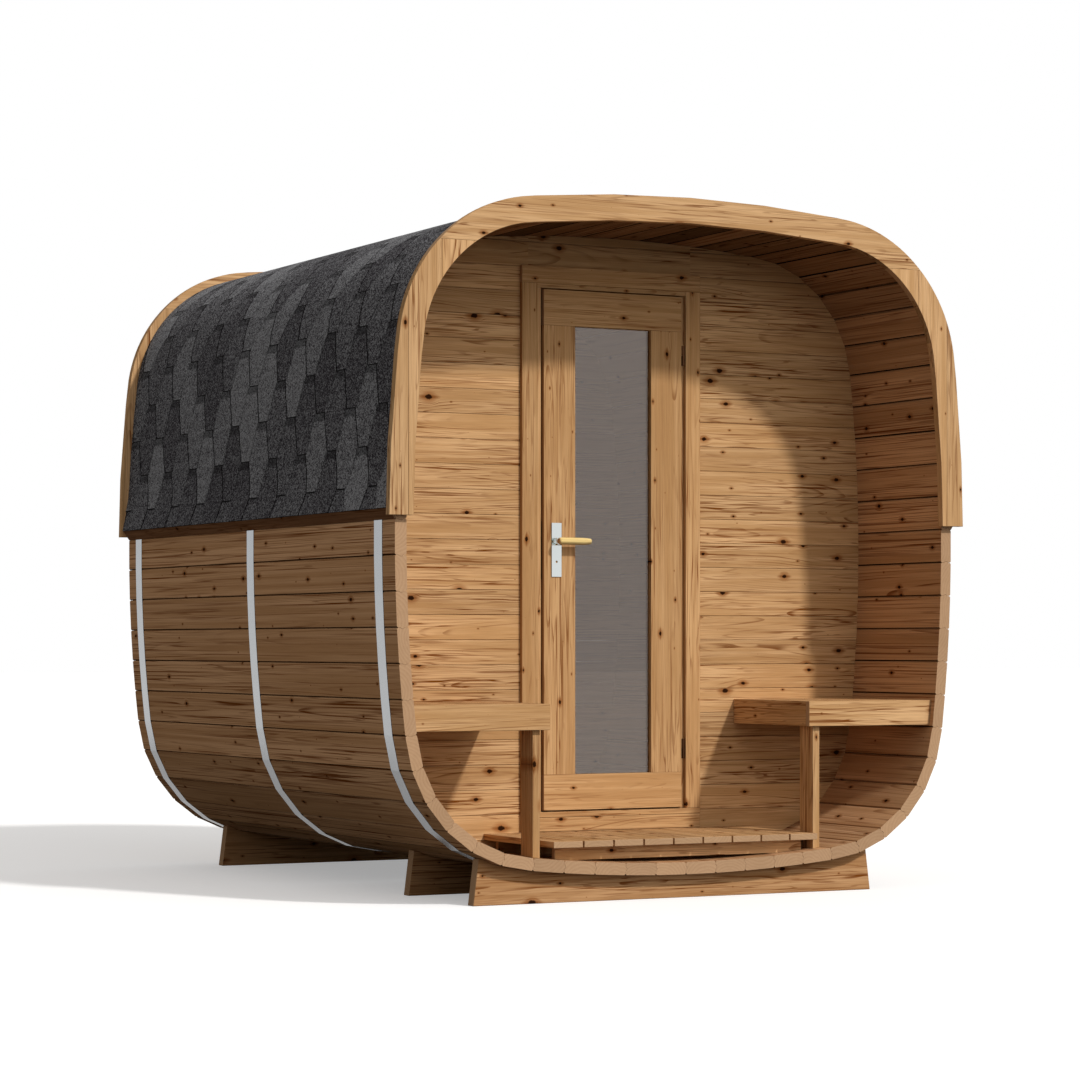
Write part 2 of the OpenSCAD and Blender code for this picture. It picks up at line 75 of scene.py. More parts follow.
class Body(Enum):
    """The bodies that pieces ride on."""

    BUILDING = "building"
    DOOR = "door"
    LEVER = "lever"


# ---- modelling ----


def deselect_all() -> None:
    """Deselects every object."""
    bpy.ops.object.select_all(action="DESELECT")


def pick_all() -> None:
    """Selects the whole mesh in edit mode."""
    bpy.ops.mesh.select_all(action="SELECT")


def show(name: str, data: bpy.types.ID) -> bpy.types.Object:
    """Adds an object that shows a camera, a lamp or a curve.

    Args:
        name: The object's name.
        data: What it shows.

    Returns:
        The object.
    """
    obj = bpy.data.objects.new(name, data)
    bpy.context.scene.collection.objects.link(obj)
    return obj


@dataclass
class Piece:
    """One mesh, shaped step by step with Blender's own tools."""

    obj: bpy.types.Object

    @classmethod
    def block(cls, low: Sequence[float], high: Sequence[float]) -> "Piece":
        """Adds a cube at its size and place.

        Args:
            low: The lowest corner.
            high: The highest corner.

        Returns:
            The new piece.
        """
        low, high = Vector(low), Vector(high)
        deselect_all()
        bpy.ops.mesh.primitive_cube_add(size=1, location=(low + high) / 2, scale=high - low)
        return cls(bpy.context.object).settle()

    @classmethod
    def rod(cls, centre: Vector, axis: Vector, radius: float, length: float) -> "Piece":
        """Adds a cylinder.

        Args:
            centre: The middle of the cylinder.
            axis: The direction of its axis.
            radius: Its radius.
            length: Its length.

        Returns:
            The new piece.
        """
        deselect_all()
        turn = axis.to_track_quat("Z", "Y").to_euler()
        bpy.ops.mesh.primitive_cylinder_add(
            vertices=32, radius=radius, depth=length, location=centre, rotation=turn
        )
        return cls(bpy.context.object).settle()

    @classmethod
    def of_node(cls, node: str) -> "Piece":
        """Copies a CAD node and merges its loose triangles into whole faces.

        Args:
            node: The node's name.

        Returns:
            The copy.
        """
        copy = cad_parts[node].copy()
        copy.data = copy.data.copy()
        copy.parent = None
        for key in list(copy.keys()):
            del copy[key]
        bpy.context.scene.collection.objects.link(copy)
        piece = cls(copy)
        piece.obj.data.materials.clear()
        with piece.editing():
            pick_all()
            bpy.ops.mesh.remove_doubles(threshold=TOUCH)
            bpy.ops.mesh.dissolve_limited(angle_limit=FLAT)
        return piece

    def copy(self, offset: Vector) -> "Piece":
        """Copies the piece with a mesh of its own.

        Args:
            offset: How far the copy is moved.

        Returns:
            The copy.
        """
        twin = self.obj.copy()
        twin.data = self.obj.data.copy()
        twin.data.transform(Matrix.Translation(offset))
        bpy.context.scene.collection.objects.link(twin)
        return Piece(twin)

    def select(self) -> None:
        """Selects this piece alone and makes it active."""
        deselect_all()
        self.obj.select_set(True)
        bpy.context.view_layer.objects.active = self.obj

    def settle(self) -> "Piece":
        """Puts the piece's place, turn and scale into its mesh.

        Returns:
            The piece.
        """
        self.select()
        bpy.ops.object.transform_apply(location=True, rotation=True, scale=True)
        return self

    @contextmanager
    def editing(self, mode: str = "VERT") -> Iterator[None]:
        """Opens the piece in edit mode.

        Args:
            mode: The select mode: VERT, EDGE or FACE.
        """
        self.select()
        bpy.ops.object.mode_set(mode="EDIT")
        bpy.ops.mesh.select_mode(type=mode)
        yield
        bpy.ops.object.mode_set(mode="OBJECT")

    def pick_points(self, wanted: Callable[[Vector], bool]) -> None:
        """Selects points in edit mode.

        Args:
            wanted: Says whether a point is selected.
        """
        bpy.ops.mesh.select_all(action="DESELECT")
        mesh = bmesh.from_edit_mesh(self.obj.data)
        for vert in mesh.verts:
            vert.select_set(wanted(vert.co))
        mesh.select_flush(True)
        bmesh.update_edit_mesh(self.obj.data)

    def pick_edges(self, wanted: Callable[[Vector, Vector], bool]) -> None:
        """Selects edges in edit mode.

        Args:
            wanted: Says whether the edge between two points is selected.
        """
        bpy.ops.mesh.select_all(action="DESELECT")
        mesh = bmesh.from_edit_mesh(self.obj.data)
        for edge in mesh.edges:
            edge.select_set(wanted(edge.verts[0].co, edge.verts[1].co))
        bmesh.update_edit_mesh(self.obj.data)

    def cut(self, point: Vector, normal: Vector, clear: bool = True) -> "Piece":
        """Cuts the piece with a plane.

        Args:
            point: A point of the plane.
            normal: The plane's normal.
            clear: Whether what lies on the normal's side goes and the cut is closed.

        Returns:
            The piece.
        """
        with self.editing():
            pick_all()
            bpy.ops.mesh.bisect(
                plane_co=point, plane_no=normal, use_fill=clear, clear_outer=clear, threshold=TOUCH / 10
            )
        return self

    def shift(self, wanted: Callable[[Vector], bool], offset: Vector) -> "Piece":
        """Moves some of the points.

        Args:
            wanted: Says whether a point is moved.
            offset: How far it is moved.

        Returns:
            The piece.
        """
        with self.editing():
            self.pick_points(wanted)
            bpy.ops.transform.translate(value=offset)
        return self

    def bevel_edges(
        self, wanted: Callable[[Vector, Vector], bool], width: float, segments: int = 1
    ) -> "Piece":
        """Bevels chosen edges.

        Args:
            wanted: Says whether the edge between two points is bevelled.
            width: The bevel's width along each face.
            segments: The number of its faces.

        Returns:
            The piece.
        """
        with self.editing("EDGE"):
            self.pick_edges(wanted)
            bpy.ops.mesh.bevel(offset=width, segments=segments, affect="EDGES")
        return self

    def modify(self, kind: str, **settings: object) -> "Piece":
        """Adds a modifier and applies it.

        Args:
            kind: The modifier's type.
            settings: The modifier's settings.

        Returns:
            The piece.
        """
        modifier = self.obj.modifiers.new(kind.title(), kind)
        for key, value in settings.items():
            setattr(modifier, key, value)
        self.select()
        bpy.ops.object.modifier_apply(modifier=modifier.name)
        return self

    def ease(self, width: float = 1.5 * MM, segments: int = 2) -> "Piece":
        """Eases every sharp edge by a width along each face, and returns the piece."""
        return self.modify(
            "BEVEL", width=width, segments=segments, limit_method="ANGLE", angle_limit=SHARP
        )

    def face_out(self) -> "Piece":
        """Turns every face's front outward.

        Returns:
            The piece.
        """
        with self.editing():
            pick_all()
            bpy.ops.mesh.normals_make_consistent(inside=False)
        return self

    def remove(self) -> None:
        """Takes the piece out of the scene."""
        bpy.data.objects.remove(self.obj)

    def gone(self) -> bool:
        """Removes the piece where cuts have left nothing of it.

        Returns:
            Whether nothing was left.
        """
        gone = len(self.obj.data.vertices) == 0
        if gone:
            self.remove()
        return gone

    def points(self) -> np.ndarray:
        """Returns the mesh's points as an array of one row each."""
        out = np.zeros(len(self.obj.data.vertices) * 3)
        self.obj.data.vertices.foreach_get("co", out)
        return out.reshape(-1, 3)

    def normals(self) -> np.ndarray:
        """Returns the faces' normals as an array of one row each."""
        out = np.zeros(len(self.obj.data.polygons) * 3, np.float32)
        self.obj.data.polygons.foreach_get("normal", out)
        return out.reshape(-1, 3)

    def write(self, name: str, domain: str, values: np.ndarray) -> None:
        """Writes a vector attribute.

        Args:
            name: The attribute's name.
            domain: POINT or FACE.
            values: One row for each point or face.
        """
        layer = self.obj.data.attributes.get(name)
        if layer is None:
            layer = self.obj.data.attributes.new(name, "FLOAT_VECTOR", domain)
        layer.data.foreach_set("vector", values.astype(np.float32).ravel())


def joined(pieces: Sequence[Piece], name: str) -> Piece:
    """Joins pieces into one object.

    Args:
        pieces: The pieces to join.
        name: The name of the whole.

    Returns:
        The whole.
    """
    deselect_all()
    for piece in pieces:
        piece.obj.select_set(True)
    whole = pieces[0]
    bpy.context.view_layer.objects.active = whole.obj
    if len(pieces) > 1:
        bpy.ops.object.join()
    whole.obj.name = name
    whole.obj.data.name = name
    return whole


def mount(piece: Piece, body: Body, finish: Material, slot: str, *nodes: str) -> None:
    """Dresses a piece and sets it on its body.

    Args:
        piece: The finished piece.
        body: The body it rides on.
        finish: Its material.
        slot: The name of a material slot; not used.
        nodes: The CAD nodes that it stands for.
    """
    piece.obj.data.materials.clear()
    piece.obj.data.materials.append(finish)
    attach(piece.obj, body.value)
    if nodes:
        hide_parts(*nodes)
    log.info("%s: %d faces on %s", piece.obj.name, len(piece.obj.data.polygons), body.value)


def dress_node(node: str, finish: Material) -> None:
    """Gives a CAD node that stays its finish.

    Args:
        node: The node's name.
        finish: The material.
    """
    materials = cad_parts[node].data.materials
    materials.clear()
    materials.append(finish)
    log.info("%s: dressed in %s", node, finish.name)


@dataclass(frozen=True)
class Lie:
    """How a board lies: which way its grain runs and which way its face is wide."""

    along: Vector
    across: Vector
    log_length: tuple[float, float] = (2.0, 30.0)
    pith_aside: float = 0.05
    pith_depth: tuple[float, float] = (0.035, 0.095)
    end_facing: float = 0.6
    flat_facing: float = 0.97
    # How dark an upright bevel is, as a dark joint, and how much darker it is painted, as shade, when it
    # faces down.
    bevel_level: float = 0.5
    bevel_shade_down: float = 0.7
    tone_spread: float = 0.22

    def mark(self, piece: Piece, dice: random.Random, painted_shade: float = 0.0) -> Piece:
        """Writes the grain's coordinates and the board's tone on a piece.

        Each board gets a place of its own in the log: a stretch along it and a distance from its pith.

        Args:
            piece: The board.
            dice: The source of the board's place and tone.
            painted_shade: How much darker the board is painted than its neighbours, as painted shade, from 0
                to about 1.

        Returns:
            The piece.
        """
        depth = self.along.cross(self.across)
        points = piece.points()
        centre = (points.min(0) + points.max(0)) / 2
        axes = np.array([self.along, self.across, depth]).T
        side = dice.choice((-1.0, 1.0))
        place = np.array([
            dice.uniform(*self.log_length),
            dice.uniform(-self.pith_aside, self.pith_aside),
            side * dice.uniform(*self.pith_depth),
        ])
        piece.write("grain", "POINT", (points - centre) @ axes + place)
        normals = piece.normals()
        facing = np.abs(normals @ axes)
        end = facing[:, 0] > self.end_facing
        # Bevel faces are darkened as a dark joint, with painted shade on top: full where a bevel faces down,
        # none where it faces up.
        bevel = ~end & (facing[:, 1:] < self.flat_facing).all(1)
        bevel = bevel * np.clip(self.bevel_level - self.bevel_shade_down * normals[:, 2], 0.0, 1.0)
        # The tone is lowered by the painted shade asked for, which darkens the staves near the ceiling.
        tone = min(1.0, max(0.0, dice.gauss(0.5, self.tone_spread))) - painted_shade
        piece.write("board", "FACE", np.stack([np.full(len(end), tone), end, bevel], 1))
        return piece


LEVEL_BOARD = Lie(X, Z)
LEVEL_SLAT = Lie(X, Y)
DEEP_SLAT = Lie(Y, X)
DEEP_BOARD = Lie(Y, Z)
UPRIGHT = Lie(Z, X)


# ---- finishes ----


def rgb(red: float, green: float, blue: float) -> Colour:
    """Turns a screen colour of 0 to 255 into the linear colour that shaders take."""
    parts = [v / 255 for v in (red, green, blue)]
    return (*[v / 12.92 if v <= 0.04045 else ((v + 0.055) / 1.055) ** 2.4 for v in parts], 1.0)


@dataclass(frozen=True)
class Signal:
    """A value that varies over a surface, combined by plain arithmetic."""

    tree: "Tree"
    socket: bpy.types.NodeSocket

    def _math(self, operation: str, *others: "Signal | float") -> "Signal":
        """Returns the result of a Math node that takes this signal first."""
        return self.tree.math(operation, self, *others)

    def __add__(self, other: "Signal | float") -> "Signal":
        """Adds."""
        return self._math("ADD", other)

    def __sub__(self, other: "Signal | float") -> "Signal":
        """Subtracts."""
        return self._math("SUBTRACT", other)

    def __rsub__(self, other: float) -> "Signal":
        """Subtracts this signal from a number."""
        return self.tree.math("SUBTRACT", other, self)

    def __mul__(self, other: "Signal | float") -> "Signal":
        """Multiplies."""
        return self._math("MULTIPLY", other)

    def __truediv__(self, other: "Signal | float") -> "Signal":
        """Divides."""
        return self._math("DIVIDE", other)

    def power(self, exponent: float) -> "Signal":
        """Raises to a power."""
        return self._math("POWER", exponent)

    def root(self) -> "Signal":
        """Takes the square root."""
        return self._math("SQRT")

    def fraction(self) -> "Signal":
        """Keeps the part after the point."""
        return self._math("FRACT")

    def floor(self) -> "Signal":
        """Rounds down."""
        return self._math("FLOOR")

    def most(self, other: "Signal | float") -> "Signal":
        """Takes the larger of two."""
        return self._math("MAXIMUM", other)

    def ramp(self, low: "Signal | float", high: "Signal | float") -> "Signal":
        """Rises smoothly from 0 at low to 1 at high, or falls where low is the larger."""
        node = self.tree.add(
            "ShaderNodeMapRange",
            {"Value": self, "From Min": low, "From Max": high},
            interpolation_type="SMOOTHSTEP",
        )
        return Signal(self.tree, node.outputs["Result"])


class Tree:
    """The node tree of a material or the world, built by calls that return signals."""

    def __init__(self, owner: Material | bpy.types.World) -> None:
        """Starts an empty tree.

        Args:
            owner: The material or world that it belongs to.
        """
        self.owner = owner
        owner.use_nodes = True
        self.nodes = owner.node_tree.nodes
        self.links = owner.node_tree.links
        self.nodes.clear()

    def add(self, kind: str, inputs: dict | None = None, **settings: object) -> bpy.types.Node:
        """Adds a node.

        Args:
            kind: The node's type.
            inputs: Values, signals or sockets by the input's name or number.
            settings: The node's own settings.

        Returns:
            The node.
        """
        node = self.nodes.new(kind)
        for key, value in settings.items():
            setattr(node, key, value)
        for key, value in (inputs or {}).items():
            if isinstance(value, Signal):
                value = value.socket
            if isinstance(value, bpy.types.NodeSocket):
                self.links.new(value, node.inputs[key])
            else:
                node.inputs[key].default_value = value
        return node

    def math(self, operation: str, *values: "Signal | float") -> Signal:
        """Returns the result of a Math node that takes the values."""
        node = self.add("ShaderNodeMath", dict(enumerate(values)), operation=operation)
        return Signal(self, node.outputs[0])

    def attribute(self, name: str) -> tuple[Signal, Signal, Signal]:
        """Returns the three parts of the mesh's vector attribute of that name."""
        node = self.add("ShaderNodeAttribute", attribute_name=name)
        return self.split(node.outputs["Vector"])

    def place(self) -> tuple[Signal, Signal, Signal]:
        """Returns the three object coordinates."""
        return self.split(self.add("ShaderNodeTexCoord").outputs["Object"])

    def split(self, vector: bpy.types.NodeSocket) -> tuple[Signal, Signal, Signal]:
        """Splits a vector into its three parts."""
        node = self.add("ShaderNodeSeparateXYZ", {"Vector": vector})
        return tuple(Signal(self, node.outputs[i]) for i in range(3))

    def vector(self, *parts: "Signal | float") -> bpy.types.NodeSocket:
        """Builds a vector from up to three parts."""
        return self.add("ShaderNodeCombineXYZ", dict(enumerate(parts))).outputs["Vector"]

    def noise(self, *parts: "Signal | float", detail: float = 2.0) -> Signal:
        """Returns a noise round 0.5, sampled at a place that is already scaled."""
        return Signal(self, self._noise(parts, detail).outputs["Fac"])

    def noise_parts(self, *parts: "Signal | float", detail: float = 1.0) -> tuple[Signal, Signal, Signal]:
        """Samples three noises at once.

        Args:
            parts: Where they are sampled, already scaled.
            detail: The number of finer layers.

        Returns:
            The three noises, each round 0.5.
        """
        node = self._noise(parts, detail)
        split = self.add("ShaderNodeSeparateColor", {"Color": node.outputs["Color"]})
        return tuple(Signal(self, split.outputs[i]) for i in range(3))

    def _noise(self, parts: Sequence["Signal | float"], detail: float) -> bpy.types.Node:
        """Adds a Noise Texture node at scale 1."""
        return self.add(
            "ShaderNodeTexNoise", {"Vector": self.vector(*parts), "Scale": 1.0, "Detail": detail}
        )

    def blend(self, share: "Signal | float", first: object, second: object) -> bpy.types.NodeSocket:
        """Returns two colours mixed, with that share of the second."""
        node = self.add("ShaderNodeMix", {0: share, 6: first, 7: second}, data_type="RGBA")
        return node.outputs[2]

    def shade(self, colour: object, factor: Signal) -> bpy.types.NodeSocket:
        """Multiplies a colour by a signal.

        Args:
            colour: A colour or socket.
            factor: The signal.

        Returns:
            The product.
        """
        grey = self.add("ShaderNodeCombineColor", {0: factor, 1: factor, 2: factor}).outputs[0]
        node = self.add(
            "ShaderNodeMix", {0: 1.0, 6: colour, 7: grey}, data_type="RGBA", blend_type="MULTIPLY"
        )
        return node.outputs[2]

    def bump(self, height: Signal, distance: float, strength: float) -> bpy.types.NodeSocket:
        """Returns a normal roughened by a height, where a height of 1 stands for the distance."""
        node = self.add("ShaderNodeBump", {"Height": height, "Distance": distance, "Strength": strength})
        return node.outputs["Normal"]

    def surface(self, inputs: dict) -> Material:
        """Closes the tree with a Principled shader.

        Args:
            inputs: The shader's inputs by name.

        Returns:
            The material.
        """
        shader = self.add("ShaderNodeBsdfPrincipled", inputs)
        self.add("ShaderNodeOutputMaterial", {"Surface": shader.outputs[0]})
        return self.owner


@dataclass(frozen=True)
class Wood:
    """Heat-treated pine: rings cut by the board's faces, dark streaks along the grain, and knots.

    Its "grain" attribute is a place in the log, along it, across it and deep in it, and its "board"
    attribute holds the board's tone (with painted shade on the ceiling staves), 1 on end grain, and how
    much a bevel is darkened: a dark joint, plus painted shade on bevels that face down.
    """

    name: str
    pale: Colour
    warm: Colour
    streak: Colour = rgb(112, 62, 24)
    end: Colour = rgb(175, 143, 112)
    halo: Colour = rgb(140, 84, 40)
    knot: Colour = rgb(34, 17, 8)
    ring: float = 5.0 * MM
    streaks: float = 1.0
    knots: float = 1.0
    rare: float = 0.25
    # How much the bevels darken: a dark joint, partly painted shade on bevels that face down.
    joint_dark_and_shade: float = 0.45
    stretch: float = 1.0
    knot_cells: tuple[float, float] = (7.0, 12.0)
    knot_radius: float = 19 * MM
    core_edge: tuple[float, float] = (1.1, 0.7)
    halo_edge: tuple[float, float] = (2.9, 0.8)
    halo_least: float = 1.5 * MM
    bend_edge: float = 3.6
    bend_least: float = 2.0 * MM
    bend_depth: float = 0.85
    wander: tuple[float, float] = (0.055, 0.085)
    ring_depth: float = 0.85
    stroke_depth: float = 0.66
    end_depth: float = 0.12
    fibre_depth: float = 0.34
    tone_depth: float = 0.30
    fibre_height: float = 0.3 * MM
    roughness: float = 0.70

    def material(self) -> Material:
        """Builds the material.

        Returns:
            The material.
        """
        t = Tree(bpy.data.materials.new(self.name))
        along, across, depth = t.attribute("grain")
        tone, end, bevel = t.attribute("board")
        side = 1.0 - end
        run = along * self.stretch
        drift = t.noise_parts(run * 0.9, across * 3.0, depth * 3.0)

        def grain(length: float, width: float, detail: float = 1.0) -> Signal:
            """Samples a noise with so many features to a metre along the grain and across it."""
            return t.noise(run * length, across * width, depth * width, detail=detail)

        # Knots: at most one to a cell of about 14 by 8 cm, and the grain runs round them
        cell_x, cell_y = self.knot_cells
        column, row = along * cell_x, across * cell_y + tone * 7.0
        cells = t.add(
            "ShaderNodeTexVoronoi", {"Vector": t.vector(column, row), "Scale": 1.0}, voronoi_dimensions="2D"
        )
        spot = t.split(cells.outputs["Position"])
        chance = t.split(cells.outputs["Color"])[0]
        off_x, off_y = (column - spot[0]) / cell_x, (row - spot[1]) / cell_y
        radius = (chance - self.rare).most(0.0).power(2.0) * self.knot_radius * self.knots + NEAR
        fray = t.noise(along * 180.0, across * 180.0, depth * 20.0, detail=1.0) * 0.7 + 0.65
        away = (off_x * off_x * 0.45 + off_y * off_y).root()
        core = (away * fray).ramp(radius * self.core_edge[0], radius * self.core_edge[1]) * side
        halo = away.ramp(radius * self.halo_edge[0] + self.halo_least, radius * self.halo_edge[1]) * side
        bend = away.ramp(radius * self.bend_edge + self.bend_least, radius)
        slim, reach = off_y * off_y, off_x * off_x
        spread = radius * radius
        tail = slim.ramp(spread * 0.6, 0.0) * reach.ramp(spread * 30.0, 0.0) * fray * side

        # Rings: a sharp late edge to each year, some years strong and some faint
        ring_y = across - off_y * bend * self.bend_depth + (drift[1] - 0.5) * self.wander[0]
        ring_z = depth + (drift[2] - 0.5) * self.wander[1]
        from_pith = (ring_y * ring_y + ring_z * ring_z).root()
        years = from_pith / self.ring + drift[0] * 3.0 + grain(4.0, 30.0) * 1.2
        late = years.fraction()
        arcs = (years * 0.45).fraction().ramp(0.25, 0.8) * end
        edge = late.ramp(0.62, 0.92) * late.ramp(1.0, 0.96)
        draw = t.add(
            "ShaderNodeTexWhiteNoise", {"Vector": t.vector(years.floor(), tone)}, noise_dimensions="2D"
        )
        strength = Signal(t, draw.outputs["Value"]).power(2.2) * 0.9 + 0.12
        rings = edge * strength * grain(4.5, 45.0).ramp(0.38, 0.56) * (1.0 - halo * 0.5)

        # Strokes and fibres along the grain, thick in some patches and thin in others
        patch = grain(1.8, 12.0, detail=2.0)
        long_stroke = grain(3.0, 130.0).ramp(0.58, 0.66)
        thin_stroke = grain(4.5, 260.0).ramp(0.55, 0.68)
        middle = grain(2.6, 60.0) - 0.5
        hair = (middle * middle).ramp(0.0009, 0.0)
        stroke = (long_stroke + thin_stroke * 0.6 + hair * 0.8) * (patch.ramp(0.36, 0.60) * 0.9 + 0.1)
        fibre = grain(14.0, 420.0, detail=2.0)
        band = grain(1.5, 55.0, detail=2.0)

        colour = t.blend((patch * 0.5 + band * 0.5).ramp(0.36, 0.64), self.warm, self.pale)
        dark = (rings * self.ring_depth + stroke * self.stroke_depth) * (1.0 - end * 0.95) * self.streaks
        dark = (dark + arcs * self.end_depth).most(tail * 0.7)
        colour = t.blend(end * 0.85, colour, self.end)
        colour = t.blend(halo * 0.7, colour, self.halo)
        colour = t.blend(dark * 0.95, colour, self.streak)
        colour = t.blend(core * 0.97, colour, self.knot)
        fine = (fibre - 0.5) * self.fibre_depth * (1.0 - end * 0.6)
        # The level takes in the bevel darkening, which is partly painted shade, and the tone, which holds
        # painted shade near the ceiling.
        level = fine + (tone - 0.5) * self.tone_depth * (1.0 - end * 0.5) + 1.0 - bevel * self.joint_dark_and_shade
        return t.surface({
            "Base Color": t.shade(colour, level),
            "Roughness": rings * 0.12 - fibre * 0.08 + self.roughness,
            "Specular IOR Level": 0.0,
            "Normal": t.bump(fibre, self.fibre_height, 0.5),
        })


@dataclass(frozen=True)
class Shingle:
    """Bitumen shingle covered in mineral granules, each tab with a tone of its own.

    The third part of its "grain" attribute is the share of the way up the tab, and its "board"
    attribute holds the tab's tone and, third, how bare of granules a face is.
    """

    name: str = "mineral_shingle"
    light: Colour = rgb(147, 148, 151)
    dark: Colour = rgb(37, 33, 37)
    edge: Colour = rgb(8, 7, 7)
    granule: float = 4.0 * MM
    granule_height: float = 0.6 * MM
    tones: float = 0.4
    speckle: float = 0.9
    patches: float = 0.2
    middle: float = 0.38
    foot: tuple[float, float] = (0.018, 0.012)
    shaded: tuple[float, float] = (0.915, 0.935)

    def material(self) -> Material:
        """Builds the material.

        Returns:
            The material.
        """
        t = Tree(bpy.data.materials.new(self.name))
        _, _, lap = t.attribute("grain")
        tone, _, bare = t.attribute("board")
        x, y, z = t.place()
        cells = t.add("ShaderNodeTexVoronoi", {"Vector": t.vector(x, y, z), "Scale": 1 / self.granule})
        grain = t.split(cells.outputs["Color"])[0]
        patch = t.noise(x * 45.0, y * 45.0, z * 45.0)
        mix = (tone - 0.5) * self.tones + (grain - 0.5) * self.speckle
        mix = mix + (patch - 0.5) * self.patches + self.middle
        colour = t.blend(mix.ramp(0.0, 1.0), self.dark, self.light)
        ragged = t.noise(x * 90.0, y * 90.0, z * 90.0, detail=1.0) * 0.04
        shadow = (lap + ragged).ramp(*self.shaded)
        colour = t.blend((shadow * 0.5).most(bare).most(lap.ramp(*self.foot)), colour, self.edge)
        return t.surface({
            "Base Color": colour,
            "Roughness": grain * 0.1 + 0.8,
            "Specular IOR Level": 0.02,
            "Normal": t.bump(Signal(t, cells.outputs["Distance"]), self.granule_height, 0.4),
        })


@dataclass(frozen=True)
class Steel:
    """Bare or plated steel with fine brushing and faint smears."""

    name: str
    base: Colour
    roughness: float
    brush: tuple[float, float, float] = (40.0, 40.0, 900.0)
    smears: float = 9.0
    smear_depth: float = 0.14
    unevenness: float = 0.12
    brush_height: float = 0.02 * MM

    def material(self) -> Material:
        """Builds the material.

        Returns:
            The material.
        """
        t = Tree(bpy.data.materials.new(self.name))
        x, y, z = t.place()
        lines = t.noise(x * self.brush[0], y * self.brush[1], z * self.brush[2])
        smear = t.noise(x * self.smears, y * self.smears, z * self.smears, detail=3.0)
        return t.surface({
            "Base Color": t.shade(self.base, (smear - 0.5) * self.smear_depth + 1.0),
            "Metallic": 1.0,
            "Roughness": (lines + smear - 1.0) * self.unevenness + self.roughness,
            "Normal": t.bump(lines, self.brush_height, 0.4),
        })


@dataclass(frozen=True)
class Glass:
    """Faintly bronze door glass that lets light into the room."""

    name: str = "door_glass_pane"
    tint: Colour = rgb(214, 206, 196)
    shine: Colour = rgb(255, 240, 232)
    ior: float = 1.95

    def material(self) -> Material:
        """Builds the material.

        Returns:
            The material.
        """
        t = Tree(bpy.data.materials.new(self.name))
        x, y, z = t.place()
        film = t.noise(x * 7.0, y * 7.0, z * 3.0, detail=3.0)
        pane = t.add("ShaderNodeBsdfPrincipled", {
            "Base Color": self.tint,
            "Roughness": (film - 0.5).most(0.0) * 0.04,
            "IOR": self.ior,
            "Specular Tint": self.shine,
            "Transmission Weight": 1.0,
        })
        clear = t.add("ShaderNodeBsdfTransparent", {"Color": self.tint})
        path = t.add("ShaderNodeLightPath")
        mix = t.add("ShaderNodeMixShader", {
            0: path.outputs["Is Shadow Ray"], 1: pane.outputs[0], 2: clear.outputs[0]
        })
        t.add("ShaderNodeOutputMaterial", {"Surface": mix.outputs[0]})
        return t.owner


def made(finish: Wood | Shingle | Steel | Glass) -> Material:
    """Returns a dataclass field that builds the finish's material."""
    return field(default_factory=finish.material)


@dataclass
class Finishes:
    """Every finish of the sauna, each built once."""

    stave: Material = made(Wood(
        "stave_pine", pale=rgb(207, 163, 122), warm=rgb(181, 137, 96), rare=0.4, joint_dark_and_shade=0.85, stretch=0.35
    ))
    board: Material = made(Wood(
        "board_pine", pale=rgb(205, 165, 120), warm=rgb(179, 138, 93), rare=0.38, knots=1.35
    ))
    trim: Material = made(Wood(
        "fascia_pine", pale=rgb(210, 170, 125), warm=rgb(187, 146, 101), streaks=0.75, knots=0.55
    ))
    joinery: Material = made(Wood(
        "door_pine", pale=rgb(194, 154, 109), warm=rgb(173, 132, 88), streaks=0.8, knots=0.6
    ))
    underside: Material = made(Wood("cradle_pine", pale=rgb(188, 146, 104), warm=rgb(164, 121, 80)))
    eave: Material = made(Wood("eave_pine", pale=rgb(178, 130, 92), warm=rgb(152, 108, 76)))
    grip: Material = made(Wood(
        "grip_ash", pale=rgb(232, 207, 142), warm=rgb(214, 186, 122), streak=rgb(168, 128, 78),
        streaks=0.5, knots=0.0
    ))
    shingle: Material = made(Shingle())
    band: Material = made(Steel("band_steel_sheet", base=rgb(158, 161, 164), roughness=0.2))
    plated: Material = made(Steel("plated_steel", base=rgb(213, 218, 217), roughness=0.1))
    hinge: Material = made(Steel("hinge_bronze", base=rgb(86, 58, 38), roughness=0.55))
    glass: Material = made(Glass())


# ---- shell ----


